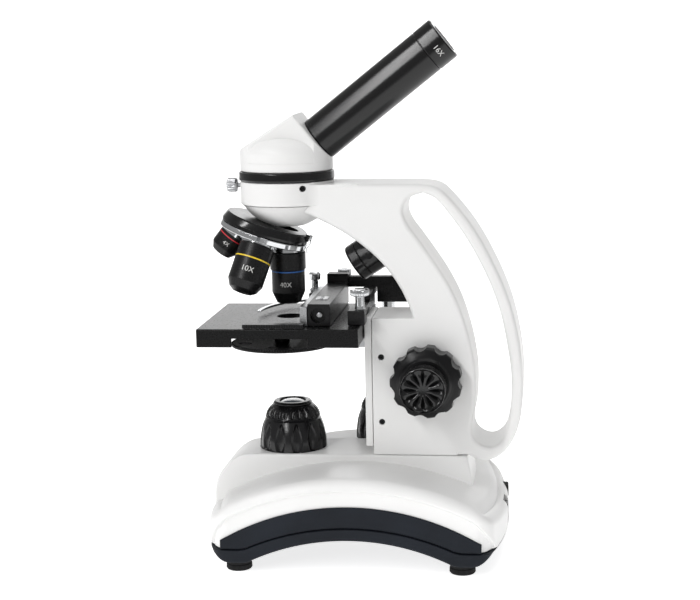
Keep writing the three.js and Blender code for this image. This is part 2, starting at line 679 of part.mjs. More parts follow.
function diaphragmDisc() {
  const disc = turned([
    [2.3, DISC.bottom], [DISC.radius - 0.5, DISC.bottom], [DISC.radius, DISC.bottom + 0.5],
    [DISC.radius, DISC.top - 0.5], [DISC.radius - 0.5, DISC.top], [2.3, DISC.top],
  ], 30).translate(DISC.x, DISC.y, 0);
  const pitch = Math.hypot(DISC.x, DISC.y);
  const start = Math.atan2(-DISC.y, -DISC.x);
  const apertures = [6.5, 5, 3.8, 2.7, 1.8, 1.1].map((radius, i) => {
    const angle = start + (i * Math.PI) / 3;
    const [x, y] = [DISC.x + pitch * Math.cos(angle), DISC.y + pitch * Math.sin(angle)];
    return rod(radius, 110, 130, 10).translate(x, y, 0);
  });
  return cut(disc, ...apertures);
}

function diaphragmScrew() {
  const profile = [[0, DISC.bottom - 1.9], [3.6, DISC.bottom - 1.9], [3.9, DISC.bottom - GAP],
    [1.8, DISC.bottom - GAP], [1.8, 128], [0, 128]];
  return turned(profile, 12).translate(DISC.x, DISC.y, 0);
}

function buildStage(instrument) {
  const stage = group(instrument);
  add(stage, 'stage_plate', stagePlate(), SATIN_BLACK);
  add(stage, 'stage_carrier', stageCarrier(), STEEL);
  add(stage, 'focus_rack', block(72.3, 75.2, -4, 4, 96, 126), BRASS);
  add(stage, 'diaphragm_disc', diaphragmDisc(), BLACK);
  add(stage, 'diaphragm_screw', diaphragmScrew(), STEEL);
}

// ---------------------------------------------------------------- mechanical stage
const RAIL = { left: 37.6, right: 43.8, top: 139.5 };
const SCREW = { x: 43.6, y: -29 };
const POST = { x: 8, y: 43.4 };

// Rail along the right edge, with a C-shaped clamp that grips the edge of the plate.
function stageRail() {
  const rest = STAGE.top + GAP;
  const rail = block(RAIL.left, RAIL.right, -30, 44, rest, RAIL.top);
  const seat = block(RAIL.left - 0.4, 46.6, -34, -23.5, rest, 142);
  const screwHole = rod(2.1, 136, 150, 8).translate(SCREW.x, SCREW.y, 0);
  return cut(join(rail, seat), screwHole);
}

function railThumbScrew() {
  const profile = [[0, 136.4], [1.9, 136.4], [1.9, 142.3], [2.7, 142.6], [2.5, 148.6], [5.3, 149.9],
    [5.3, 152.6], [4.6, 153.4], [0, 153.6]];
  return turned(profile, 14).translate(SCREW.x, SCREW.y, 0);
}

// Moves along the rail. Its bar across the back guides the slide holder.
function crossCarriage() {
  const bar = block(19, 68, 46.5, 53, 143, 149.5);
  const apron = block(44.8, 68, 46.5, 53, 134, 143.5);
  const runner = block(37.2, 44.2, 16, 53, RAIL.top + GAP, 143.6);
  const holderLug = block(19.5, 28.5, 52, 61.5, 143, 145.8);
  const railLug = block(46.5, 54.5, 52, 61.5, 138, 141);
  const xHole = rod(1.7, 140, 150, 8).translate(24, 57.4, 0);
  const yHole = rod(1.7, 130, 150, 8).translate(50.3, 57.4, 0);
  return cut(join(bar, apron, runner, holderLug, railLug), xHole, yHole);
}

function slideHolder() {
  const rest = STAGE.top + GAP;
  const bar = block(15.3, 27.8, -36, 46.2, rest, 146);
  const web = block(15.3, 27.8, 43.6, 46.2, 140, 151.4);
  const hanger = block(15.3, 27.8, 43.6, 52.6, 149.8, 151.4);
  const tab = block(4.6, 15.6, 40.6, 46.2, 137.2, 140);
  const sight = towardsNear(rod(3.4, 34, 40, 12)).translate(21.6, 0, 140);
  return cut(join(bar, web, hanger, tab), sight, rod(1.5, 130, 150, 8).translate(POST.x, POST.y, 0));
}

function holderBar() {
  return block(11.1, 15, -36, 40.2, STAGE.top + GAP, 144.6);
}

function holderJaw() {
  const teeth = [];
  for (let x = -19; x < 10; x += 2) {
    teeth.push([x, -44.3], [x + 1, -44.3], [x + 1, -43.7], [x + 2, -43.7]);
  }
  const outline = polygon([[-19.7, -38.6], [-19.7, -44.3], ...teeth, [14, -43.7], [14, -38.6]]);
  return upward(outline, STAGE.top + GAP, 135.9);
}

// Curved spring blade on a post. It swings in over the plate and holds a slide against the bar.
function sprungFinger() {
  const curve = new THREE.QuadraticBezierCurve(
    new THREE.Vector2(POST.x - 1, POST.y - 1), new THREE.Vector2(-16, 30), new THREE.Vector2(-18, -1));
  const steps = 8;
  const [outer, inner] = [[], []];
  for (let i = 0; i <= steps; i += 1) {
    const middle = curve.getPoint(i / steps);
    const along = curve.getTangent(i / steps);
    const half = 2 - (1.1 * i) / steps;
    outer.push([middle.x - half * along.y, middle.y + half * along.x]);
    inner.push([middle.x + half * along.y, middle.y - half * along.x]);
  }
  const blade = upward(polygon([...outer, ...inner.reverse()]), 135.6, 136.9);
  const post = turned([
    [0, 134.4], [3.6, 134.4], [3.6, 136.9], [1.2, 136.9], [1.2, 140.4], [3.2, 140.4], [3.2, 142.5],
    [2.1, 143.2], [2.1, 147.6], [3.4, 148.2], [3.6, 151.6], [2.8, 152.6], [0, 152.8],
  ], 12).translate(POST.x, POST.y, 0);
  return join(post, blade);
}

function driveKnob(profile, x) {
  return turned(profile, 14).translate(x, 57.4, 0);
}

function buildMechanicalStage(instrument) {
  const table = group(instrument);
  add(table, 'stage_rail', stageRail(), BLACK);
  add(table, 'rail_thumb_screw', railThumbScrew(), CHROME);
  add(table, 'cross_carriage', crossCarriage(), BLACK);
  add(table, 'slide_holder', slideHolder(), BLACK);
  add(table, 'holder_bar', holderBar(), STEEL);
  add(table, 'holder_jaw', holderJaw(), STEEL);
  add(table, 'sprung_finger', sprungFinger(), CHROME);
  const above = [[0, 141.5], [1.5, 141.5], [1.5, 146.1], [4.1, 146.4], [4.1, 151.6], [3.4, 152.4], [0, 152.6]];
  add(table, 'x_drive_knob', driveKnob(above, 24), CHROME);
  const below = [[0, 124], [3.4, 124.1], [4.1, 124.9], [4.1, 137.4], [1.5, 137.7], [1.5, 142.5], [0, 142.5]];
  add(table, 'y_drive_knob', driveKnob(below, 50.3), CHROME);
}

// ---------------------------------------------------------------- upper lamp
// Carries a solid from the lamp's own frame, whose Z is the beam and whose origin is the hinge.
function lampFrame(geometry) {
  return geometry.rotateY(THREE.MathUtils.degToRad(LAMP.aim)).translate(LAMP.x, 0, LAMP.z);
}

function lampBody() {
  const barrel = turned([
    [0, -8], [7.5, -8], [LAMP.radius, -4.5], [LAMP.radius, 5.7], [0, 5.7],
  ], 20);
  return join(barrel, towardsNear(rod(1.8, -16.5, 16.5, 8)));
}

function buildUpperLamp(instrument) {
  const lamp = group(instrument, LAMP.x, 0, LAMP.z);
  lamp.rotation.y = THREE.MathUtils.degToRad(LAMP.aim);
  add(lamp, 'lamp_body', lampBody(), BLACK);
  const bezel = [[8.6, 6], [LAMP.radius, 6], [LAMP.radius, 11], [10, LAMP.front], [7.6, LAMP.front], [8.6, 11]];
  add(lamp, 'lamp_bezel', turned(bezel, 20), BLACK);
  add(lamp, 'lamp_lens', rod(8.3, 8.4, 10.6, 16), GLASS);
}

// ---------------------------------------------------------------- assembly
const microscope = new THREE.Group();
const instrument = group(microscope, OPTICAL_AXIS_X, 0, 0);
buildBase(instrument);
buildIlluminator(instrument);
buildArm(instrument);
buildNosepiece(instrument);
buildHead(instrument);
buildFocus(instrument);
buildStage(instrument);
buildMechanicalStage(instrument);
buildUpperLamp(instrument);

export default microscope;
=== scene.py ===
"""A monocular student microscope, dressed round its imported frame.

Shapes are worked in millimetres. X is measured from the optical axis and Z from the bench, unless a
function says that it works in a frame of its own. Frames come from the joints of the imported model.
"""
import json
from math import asin, atan2, cos, pi, radians, sin, sqrt, tan

import bmesh
import bpy
from mathutils import Matrix, Vector


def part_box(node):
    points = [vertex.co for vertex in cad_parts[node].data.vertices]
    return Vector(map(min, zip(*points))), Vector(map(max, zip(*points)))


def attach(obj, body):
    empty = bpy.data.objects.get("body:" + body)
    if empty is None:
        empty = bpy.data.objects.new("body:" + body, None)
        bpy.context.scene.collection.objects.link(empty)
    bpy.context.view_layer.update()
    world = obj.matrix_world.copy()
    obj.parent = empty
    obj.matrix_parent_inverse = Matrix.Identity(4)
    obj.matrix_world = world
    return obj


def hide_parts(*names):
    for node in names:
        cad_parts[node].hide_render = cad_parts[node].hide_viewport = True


MM = 0.001
BROAD_FACE = 1e-4  # square metres; many-sided faces larger than this are shaded flat
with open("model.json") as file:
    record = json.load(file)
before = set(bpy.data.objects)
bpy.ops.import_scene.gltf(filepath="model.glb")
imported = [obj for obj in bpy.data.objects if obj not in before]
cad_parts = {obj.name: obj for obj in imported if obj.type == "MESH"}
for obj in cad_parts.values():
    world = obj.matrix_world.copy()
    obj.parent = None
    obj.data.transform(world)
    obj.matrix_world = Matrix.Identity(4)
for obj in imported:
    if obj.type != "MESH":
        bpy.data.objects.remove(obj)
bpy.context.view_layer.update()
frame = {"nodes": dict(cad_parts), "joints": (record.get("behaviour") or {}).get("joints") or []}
JOINTS = {joint["name"]: joint for joint in frame["joints"]}


# ---- frames
def place_of(joint):
    """A joint's point, in millimetres."""
    return Vector(JOINTS[joint]["pos_m"]) / MM


def along(direction):
    """The turn that lays Z along a direction in the X-Z plane."""
    return Matrix.Rotation(atan2(direction[0], direction[2]), 4, "Y")


AXIS_X = place_of("head_swivel").x
STAND = Matrix.Translation((AXIS_X, 0, 0))
NOSE = Matrix.Translation(place_of("nosepiece_turn")) @ along(JOINTS["nosepiece_turn"]["axis"])
TUBE_CROSSING = 219.2  # height at which the tube meets the optical axis
TUBE = Matrix.Translation((AXIS_X, 0, TUBE_CROSSING)) @ along(JOINTS["eyepiece_pull"]["axis"])
FOCUS = Matrix.Translation(place_of("coarse_focus"))
LAMP_SLANT = radians(-123)
LAMP = Matrix.Translation(place_of("lamp_tilt")) @ Matrix.Rotation(LAMP_SLANT, 4, "Y")
# Turns that point Z to the near side, to the far side and to the right.
NEAR = Matrix.Rotation(pi / 2, 4, "X")
FAR = Matrix.Rotation(-pi / 2, 4, "X")
RIGHT = Matrix.Rotation(pi / 2, 4, "Y")


def over(joint, height=0.0):
    """The frame that stands over a joint's point, at that height from the bench."""
    point = place_of(joint)
    return Matrix.Translation((point.x, point.y, height))


# ---- lines
def bend(start, pull, end, t):
    """The point at share t of the curve from start to end that leans towards pull."""
    return start * (1 - t) ** 2 + pull * 2 * t * (1 - t) + end * t * t


def spline(points, steps=6):
    """A smooth line through all the points."""
    ends = [points[0], *points, points[-1]]
    line = []
    for i in range(1, len(ends) - 2):
        a, b, c, d = (Vector(p) for p in ends[i - 1:i + 3])
        for step in range(steps):
            t = step / steps
            linear = (c - a) * t
            square = (2 * a - 5 * b + 4 * c - d) * t * t
            cube = (3 * b - a - 3 * c + d) * t ** 3
            line.append(tuple(b + (linear + square + cube) / 2))
    line.append(tuple(points[-1]))
    return line


NEARLY_STRAIGHT = 0.12  # radians
LARGEST_SHARE = 0.48  # of a side that one rounded corner may take


def softened(points, radius, closed=False):
    """The same line with its corners rounded. A third value on a point is that corner's own radius."""
    count, steps = len(points), 3
    line = []
    for i, point in enumerate(points):
        here = Vector(point[:2])
        own = point[2] if len(point) > 2 else radius
        if not closed and i in (0, count - 1) or own <= 0:
            line.append(tuple(here))
            continue
        before = Vector(points[i - 1][:2]) - here
        after = Vector(points[(i + 1) % count][:2]) - here
        if before.length < 1e-6 or after.length < 1e-6 or pi - before.angle(after) < NEARLY_STRAIGHT:
            line.append(tuple(here))
            continue
        longest = LARGEST_SHARE * min(before.length, after.length)
        reach = min(own / tan(before.angle(after) / 2), longest)
        start = here + before.normalized() * reach
        end = here + after.normalized() * reach
        for step in range(steps + 1):
            line.append(tuple(bend(start, here, end, step / steps)))
    return line


def arch_height(arc, x):
    """Height at x, from the middle of the base, of an arch with that crown height and radius."""
    crown, radius = arc
    return crown - radius + sqrt(max(radius * radius - x * x, 0))


# ---- solids, in millimetres
def net(vertices, faces):
    """A mesh of those corners and faces."""
    mesh = bmesh.new()
    corners = [mesh.verts.new(v) for v in vertices]
    for face in faces:
        mesh.faces.new([corners[i] for i in face])
    return mesh


def solid(vertices, faces):
    """The same with every face turned outwards."""
    mesh = net(vertices, faces)
    bmesh.ops.recalc_face_normals(mesh, faces=mesh.faces)
    return mesh


def turned(profile, steps, soft=0.0, shape=None):
    """Solid turned about Z from [radius, height] points. It starts and ends on the axis, or is a ring.
    soft rounds its corners. shape(radius, height, angle) may push a point to another radius and height."""
    ring = profile[0][0] > 1e-6
    if soft:
        profile = softened(profile, soft, closed=ring)
    vertices, rows = [], []
    for radius, height in profile:
        if radius < 1e-6:
            rows.append([len(vertices)] * steps)
            vertices.append((0, 0, shape(radius, height, 0)[1] if shape else height))
            continue
        rows.append([len(vertices) + i for i in range(steps)])
        for i in range(steps):
            angle = 2 * pi * i / steps
            r, z = shape(radius, height, angle) if shape else (radius, height)
            vertices.append((r * cos(angle), r * sin(angle), z))
    faces = []
    following = rows[1:] + rows[:1] if ring else rows[1:]
    for low, high in zip(rows, following):
        for i in range(steps):
            k = (i + 1) % steps
            face = [low[i], low[k], high[k], high[i]]
            face = [v for n, v in enumerate(face) if v != face[n - 1]]
            if len(face) > 2:
                faces.append(face)
    return solid(vertices, faces)


def mesh_of(curve):
    """The mesh that a curve or a text fills; the curve itself goes."""
    holder = bpy.data.objects.new(curve.name, curve)
    made = bpy.data.meshes.new_from_object(holder)
    mesh = bmesh.new()
    mesh.from_mesh(made)
    bpy.data.objects.remove(holder)
    bpy.data.curves.remove(curve)
    bpy.data.meshes.remove(made)
    bmesh.ops.remove_doubles(mesh, verts=mesh.verts, dist=1e-3)
    return mesh


def slab(outline, low, high, bevel, holes=(), steps=2):
    """Flat outline in X and Y, with holes, pulled up from low to high, with rounded edges."""
    curve = bpy.data.curves.new("slab", "CURVE")
    curve.dimensions = "2D"
    curve.fill_mode = "BOTH"
    curve.extrude = (high - low) / 2 - bevel
    curve.bevel_depth = bevel
    curve.bevel_resolution = steps
    curve.offset = -bevel
    for points in (outline, *holes):
        line = curve.splines.new("POLY")
        line.points.add(len(points) - 1)
        for target, point in zip(line.points, points):
            target.co = (point[0], point[1], 0, 1)
        line.use_cyclic_u = True
    mesh = mesh_of(curve)
    bmesh.ops.dissolve_degenerate(mesh, edges=mesh.edges, dist=1e-4)
    bmesh.ops.recalc_face_normals(mesh, faces=mesh.faces)
    return shifted(mesh, 0, 0, (low + high) / 2)


def sideways(outline, half, bevel, holes=(), steps=2):
    """An outline in X and Z, pulled along Y to half on each side."""
    return moved(slab(outline, -half, half, bevel, holes, steps), NEAR)


def brick(x0, x1, y0, y1, z0, z1, bevel, steps=2):
    mesh = bmesh.new()
    bmesh.ops.create_cube(mesh, size=1)
    bmesh.ops.scale(mesh, vec=(x1 - x0, y1 - y0, z1 - z0), verts=mesh.verts)
    bmesh.ops.translate(mesh, vec=((x0 + x1) / 2, (y0 + y1) / 2, (z0 + z1) / 2), verts=mesh.verts)
    if bevel:
        bmesh.ops.bevel(mesh, geom=mesh.edges[:], offset=bevel, segments=steps, profile=0.5,
                        affect="EDGES")
    return mesh


def rod(radius, low, high, steps=48, bevel=0.0):
    return turned(softened([(0, low), (radius, low), (radius, high), (0, high)], bevel), steps)


def moved(mesh, matrix):
    bmesh.ops.transform(mesh, matrix=matrix, verts=mesh.verts)
    return mesh


def shifted(mesh, x, y=0, z=0):
    return moved(mesh, Matrix.Translation((x, y, z)))


def stored(mesh, name):
    """Mesh data that holds a copy of the mesh."""
    data = bpy.data.meshes.new(name)
    mesh.to_mesh(data)
    return data


def placed(name, data):
    """A new object in the scene."""
    obj = bpy.data.objects.new(name, data)
    bpy.context.scene.collection.objects.link(obj)
    return obj


def together(*parts):
    """One mesh that holds all the parts."""
    whole = bmesh.new()
    for part in parts:
        copy = stored(part, "part")
        whole.from_mesh(copy)
        bpy.data.meshes.remove(copy)
    return whole


def combined(mesh, others, operation):
    body = placed("body", stored(mesh, "body"))
    tools = [placed("tool", stored(other, "tool")) for other in others]
    for tool in tools:
        step = body.modifiers.new("step", "BOOLEAN")
        step.operation = operation
        step.object = tool
        step.solver = "MANIFOLD"
    graph = bpy.context.evaluated_depsgraph_get()
    made = bpy.data.meshes.new_from_object(body.evaluated_get(graph))
    result = bmesh.new()
    result.from_mesh(made)
    spent = [obj.data for obj in (body, *tools)]
    for obj in (body, *tools):
        bpy.data.objects.remove(obj)
    for data in (*spent, made):
        bpy.data.meshes.remove(data)
    bmesh.ops.remove_doubles(result, verts=result.verts, dist=2e-3)
    bmesh.ops.dissolve_degenerate(result, edges=result.edges, dist=1e-3)
    loose = [edge for edge in result.edges if edge.is_wire]
    bmesh.ops.delete(result, geom=loose, context="EDGES")
    return result


def cut(mesh, *tools):
    return combined(mesh, tools, "DIFFERENCE")


def joined(mesh, *others):
    return combined(mesh, others, "UNION")


def common(mesh, *others):
    return combined(mesh, others, "INTERSECT")


# ---- materials
def set_inputs(node, values):
    for name, value in values.items():
        node.inputs[name].default_value = value


def noise_node(tree, scale, detail, stretch):
    """Noise in the object's own space, with its features that many to the metre."""
    where = tree.nodes.new("ShaderNodeTexCoord")
    mapping = tree.nodes.new("ShaderNodeMapping")
    texture = tree.nodes.new("ShaderNodeTexNoise")
    set_inputs(mapping, {"Scale": stretch})
    set_inputs(texture, {"Scale": scale, "Detail": detail})
    tree.links.new(where.outputs["Object"], mapping.inputs["Vector"])
    tree.links.new(mapping.outputs["Vector"], texture.inputs["Vector"])
    return texture


def passed(tree, texture, kind, entry, way_out, target):
    """Sends a texture through a new node to one input of the surface."""
    node = tree.nodes.new(kind)
    tree.links.new(texture.outputs["Fac"], node.inputs[entry])
    tree.links.new(node.outputs[way_out], tree.nodes["Principled BSDF"].inputs[target])
    return node


def vary_colour(tree, texture, dark, light):
    ramp = passed(tree, texture, "ShaderNodeValToRGB", "Fac", "Color", "Base Color").color_ramp
    for element, position, colour in zip(ramp.elements, (0.35, 0.65), (dark, light)):
        element.position = position
        element.color = (*colour, 1)


def vary_roughness(tree, texture, low, high):
    spread = passed(tree, texture, "ShaderNodeMapRange", "Value", "Result", "Roughness")
    set_inputs(spread, {"From Min": 0.3, "From Max": 0.7, "To Min": low, "To Max": high})


def roughen(tree, texture, strength, depth):
    bump = passed(tree, texture, "ShaderNodeBump", "Height", "Normal", "Normal")
    set_inputs(bump, {"Strength": strength, "Distance": depth})


def finish(name, colour, rough, tint=(), wear=(), grain=(), stretch=(1, 1, 1), more=None):
    """A material that varies by noise in its colour, roughness and surface. tint, wear and grain start with
    the noise's scale and detail and go on with two colours, two roughnesses, or strength and depth."""
    look = bpy.data.materials.new(name)
    look.use_nodes = True
    tree = look.node_tree
    plain = {"Base Color": (*colour, 1), "Roughness": rough}
    set_inputs(tree.nodes["Principled BSDF"], {**plain, **(more or {})})
    for vary, facts in ((vary_colour, tint), (vary_roughness, wear), (roughen, grain)):
        if facts:
            vary(tree, noise_node(tree, *facts[:2], stretch), *facts[2:])
    return look


def specular(level):
    return {"Specular IOR Level": level}


def black_plastic(name, shade, rough, grain, shine):
    """Moulded plastic with a fine mould grain."""
    return finish(name, (shade, shade, shade * 1.06), rough,
                  tint=(40, 3, (shade * 0.8,) * 3, (shade * 1.25, shade * 1.25, shade * 1.4)),
                  wear=(90, 3, rough - 0.05, rough + 0.07), grain=(grain, 2, 0.15, 0.0001),
                  more=specular(shine))


def anodised(name, shade, rough, shine, grain):
    """Blasted and dyed aluminium: satin, with a fine sparkle of grain."""
    return finish(name, (shade, shade, shade * 1.08), rough,
                  tint=(2200, 2, (shade * 0.7,) * 3, (shade * 1.5, shade * 1.5, shade * 1.6)),
                  wear=(1500, 2, rough - 0.3 * grain, rough + 0.5 * grain), grain=(3000, 2, grain, 0.0001),
                  more=specular(shine))


def enamel(name, colour):
    """Filled paint of the rings and the numerals."""
    return finish(name, colour, 0.4, tint=(900, 3, [value * 0.85 for value in colour], colour))


METAL = {"Metallic": 1.0}
# Stove enamel over a casting, with a faint orange peel.
WHITE = finish("white_paint", (0.8, 0.798, 0.79), 0.42,
               tint=(18, 3, (0.785, 0.782, 0.773), (0.81, 0.808, 0.802)), wear=(60, 3, 0.38, 0.48),
               grain=(420, 2, 0.12, 0.0002),
               more={"Coat Weight": 0.1, "Coat Roughness": 0.2, "Specular IOR Level": 0.35})
BLACK = black_plastic("black_plastic", 0.005, 0.3, 900, 0.22)
GLOSS = black_plastic("gloss_plastic", 0.004, 0.18, 500, 0.4)
# Blue-black plastic with a matte texture.
TRIM = finish("trim_plastic", (0.009, 0.011, 0.016), 0.48,
              tint=(30, 3, (0.008, 0.01, 0.014), (0.011, 0.014, 0.02)), wear=(1400, 2, 0.42, 0.56),
              grain=(2600, 2, 0.25, 0.0001), more=specular(0.15))
DARK = anodised("anodised", 0.006, 0.3, 0.25, 0.2)
SATIN = anodised("satin_tube", 0.003, 0.21, 0.4, 0.02)
STAGE_BLACK = anodised("stage_black", 0.004, 0.26, 0.18, 0.2)
CHROME = finish("bright_chrome", (0.6, 0.61, 0.62), 0.1, wear=(260, 3, 0.06, 0.17),
                grain=(500, 2, 0.04, 0.0001), more=METAL)
# Steel with fine turning marks.
STEEL = finish("turned_steel", (0.44, 0.445, 0.455), 0.3, wear=(900, 3, 0.24, 0.42),
               grain=(900, 3, 0.12, 0.0001), stretch=(1, 1, 6), more=METAL)
BRASS = finish("yellow_brass", (0.68, 0.5, 0.23), 0.3, wear=(500, 3, 0.22, 0.4), more=METAL)
RUBBER = finish("foot_rubber", (0.012, 0.012, 0.013), 0.75,
                tint=(300, 3, (0.009, 0.009, 0.009), (0.018, 0.018, 0.019)), grain=(1800, 2, 0.4, 0.0002),
                more=specular(0.2))
# Coated glass over dark insides.
GLASS = finish("clear_glass", (0.2, 0.23, 0.25), 0.04, tint=(25, 3, (0.16, 0.19, 0.22), (0.24, 0.27, 0.29)),
               more={"Coat Weight": 1.0, "Coat Roughness": 0.02, "Transmission Weight": 0.35})
GREEN = finish("circuit_green", (0.03, 0.14, 0.06), 0.5, tint=(600, 1, (0.02, 0.1, 0.04), (0.05, 0.2, 0.09)))
WHITE_MARK = enamel("white_mark", (0.8, 0.8, 0.78))
RED = enamel("red_band", (0.6, 0.03, 0.04))
YELLOW = enamel("yellow_band", (0.85, 0.6, 0.03))
BLUE = enamel("blue_band", (0.02, 0.12, 0.4))


def piece(name, mesh, body, look, *nodes, at=STAND, slot=None, sharp=38, weighted=True):
    """Sets the mesh up in its frame, in metres, rides it on its body and lets it stand for its nodes."""
    moved(mesh, at)
    bmesh.ops.scale(mesh, vec=(MM, MM, MM), verts=mesh.verts)
    data = stored(mesh, name)
    mesh.free()
    data.shade_smooth()
    data.set_sharp_from_angle(angle=radians(sharp))
    for polygon in data.polygons:
        if polygon.loop_total > 6 and polygon.area > BROAD_FACE:
            polygon.use_smooth = False
    data.materials.append(look)
    obj = placed(name, data)
    if weighted:
        normals = obj.modifiers.new("normals", "WEIGHTED_NORMAL")
        normals.keep_sharp = True
        normals.weight = 80
    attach(obj, body)
    if nodes:
        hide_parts(*nodes)


# ---- base
BASE_MIDDLE = 39.2
BASE_HALF = Vector((77.8, 62.0))
BASE_BOW = 6.5
BASE_CORNER = 11.0
# Arches along the base, each a crown height and a radius.
TOP_ARC = (54.0, 158.0)
RECESS_ARC = (47.9, 150.0)
TRIM_ARC = (38.7, 140.0)
SEAM_ARC = (26.4, 140.0)
BELLY_ARC = (19.6, 128.0)
SEAM_LEVEL = 13.5
RIM = 6.0
RECESS = 2.0
SEAM_GAP = 0.15
TRIM_PLACE = 59.8
SOCKET_PLACE = (0, 30, 23.8)
FEET = 4
FOOT_LEVEL = 57.7  # where the lamp house and the column stand
DIAL_LEVEL = 54.4


def bezier(start, control, end, steps):
    start, control, end = Vector(start), Vector(control), Vector(end)
    return [bend(start, control, end, i / steps) for i in range(steps)]


def base_plan():
    """Points and outward normals once round the base, from its middle."""
    side, right, corner = BASE_HALF.y, BASE_HALF.x, BASE_CORNER
    lean = 1 - (2 * BASE_BOW - 2) / (side - corner) * corner
    straight = bezier((-right + corner, -side), (0, -side), (right - corner, -side), 40)
    near = bezier((right - corner, -side), (right + lean, -side), (right + 1, -side + corner), 14)
    end = bezier((right + 1, corner - side), (right + 2 * BASE_BOW - 1, 0), (right + 1, side - corner), 22)
    far = bezier((right + 1, side - corner), (right + lean, side), (right - corner, side), 14)
    half = straight + near + end + far
    points = half + [-point for point in half]
    normals = []
    for i, point in enumerate(points):
        step = points[(i + 1) % len(points)] - points[i - 1]
        normals.append(Vector((step.y, -step.x)).normalized())
    return points, normals


def cap_rings(edge, height):
    """Rings that draw an edge in to a spine along its middle, each point at the height for its X."""
    steps, spine = 12, 0.62
    rings = []
    for step in range(1, steps + 1):
        t = step / steps
        flat = [(x * (1 - t) + x * spine * t, y * (1 - t)) for x, y, _ in edge]
        rings.append([(x, y, height(x)) for x, y in flat])
    return rings


def plan_solid(side_rows, top_height, bottom_height):
    """Solid over the base's plan. A side row gives inset and height at a point; rows run bottom to top."""
    points, normals = base_plan()
    rings = []
    for row in side_rows:
        rings.append([])
        for point, normal in zip(points, normals):
            inset, height = row(point)
            rings[-1].append((*(point - normal * inset), height))
    rings += cap_rings(rings[-1], top_height)
    under = len(rings)
    rings += cap_rings(rings[0], bottom_height)
    pairs = [(ring, ring + 1) for ring in range(under - 1)]
    pairs += [(under, 0)] + [(ring + 1, ring) for ring in range(under, len(rings) - 1)]
    count = len(points)
    faces = []
    for low, high in pairs:
        for i in range(count):
            k = (i + 1) % count
            faces.append([ring * count + at for ring, at in ((low, i), (low, k), (high, k), (high, i))])
    mesh = net([corner for ring in rings for corner in ring], faces)
    bmesh.ops.remove_doubles(mesh, verts=mesh.verts, dist=0.02)
    bmesh.ops.dissolve_degenerate(mesh, edges=mesh.edges, dist=1e-3)
    bmesh.ops.recalc_face_normals(mesh, faces=mesh.faces)
    return shifted(mesh, BASE_MIDDLE)


def seam_height(x):
    return max(SEAM_LEVEL, arch_height(SEAM_ARC, x))


def recess_top(x):
    """Upper edge of the sunk side panel; it curls down to the seam at both ends."""
    full = arch_height(RECESS_ARC, x)
    start, reach = 66.0, 13.0
    past = (abs(x) - start) / reach
    if past <= 0:
        return full
    low = seam_height(x)
    return low + (full - low) * sqrt(max(1 - past * past, 0))


def shell_rows():
    """Rows of the white shell: the sunk side, its step, and the round rim up to the arched top."""
    fade = 4.0

    def depth(x):
        return RECESS * min(1.0, (recess_top(x) - seam_height(x)) / fade)

    def sunk(drop, share):
        return lambda p: (depth(p.x) * share, max(recess_top(p.x) - drop, seam_height(p.x) + SEAM_GAP))

    def top(p):
        return arch_height(TOP_ARC, p.x)

    def rim(angle):
        def row(p):
            ledge = top(p) - RIM
            return RIM * (1 - cos(angle)), ledge + RIM * sin(angle)
        return row

    rows = [lambda p: (depth(p.x) + 0.8, seam_height(p.x) + SEAM_GAP)]
    rows.append(lambda p: (depth(p.x), seam_height(p.x) + SEAM_GAP + 0.5))
    rows += [sunk(1.6, 1), sunk(1.1, 0.93), sunk(0.6, 0.5), sunk(0.2, 0.12), sunk(-0.3, 0)]
    steps = 8
    rows += [rim(pi / 2 * i / steps) for i in range(steps + 1)]
    return rows


def base_shell():
    shell = plan_solid(shell_rows(), lambda x: arch_height(TOP_ARC, x), seam_height)
    pocket = brick(119.8, 130, -6.5, 6.5, 14.6, 28.6, 0.3)
    switch_hole = brick(100, 130, -4.8, 4.8, 16, 27.2, 0)
    socket_hole = shifted(moved(rod(5.8, 100, 140), RIGHT), *SOCKET_PLACE)
    return cut(shell, pocket, switch_hole, socket_hole)


def deck():
    """Raised table along the middle that carries the lamp and the column."""
    nose = spline([(-43, 22), (-43, 36), (-40.5, 44.5), (-35, 51.5), (-28, 56), (-21, 57.4)])
    outline = nose + [(101.5, 57.4), (104.5, 40), (104.5, 22)]
    return sideways(outline, 20, 1.4, steps=4)


def tray_low(x):
    """Underside of the tray: an arch between two flat pads that curl up at the ends."""
    pad_level, pad_end, curl_reach, curl_height = 6.0, 66, 12, 6.0
    past = max(abs(x) - pad_end, 0) / curl_reach
    return max(arch_height(BELLY_ARC, x), pad_level) + curl_height * past * past


def tray_rows():
    def low(inset, lift):
        return lambda p: (inset, min(tray_low(p.x) + lift, seam_height(p.x) - 0.4))

    return [
        low(1.6, 0), low(0.8, 0.2), low(0.35, 0.8), low(0.2, 1.6),
        lambda p: (0.2, seam_height(p.x) - SEAM_GAP - 0.3),
        lambda p: (0.6, seam_height(p.x) - SEAM_GAP),
    ]


def trim_outline(inset):
    """The dark side panel: an arch over the seam, with square ends."""
    left, right = -72 + inset, 72 - inset
    steps = 40
    lower, upper = [], []
    for i in range(steps + 1):
        x = left + (right - left) * i / steps
        lower.append((x, seam_height(x) + inset))
        upper.append((x, arch_height((TRIM_ARC[0] - inset, TRIM_ARC[1]), x)))
    return lower + upper[::-1]


def foot():
    profile = [(0, 1.2), (4, 1.2), (4.6, 0), (6.6, 0), (7.2, 0.8), (7.1, 3), (6.7, 3.3), (6.7, 3.9),
               (7, 4.2), (7, 5.7), (0, 5.7)]
    return turned(profile, 64, 0.25)


LAMP_RADIUS = 19.3


def flute(angle, count, width):
    """1 in the middle of each of the flutes round a knob, falling to 0 at its edges."""
    turn = (angle * count / (2 * pi)) % 1 - 0.5
    return max(1 - (turn / (width / 2)) ** 2, 0)


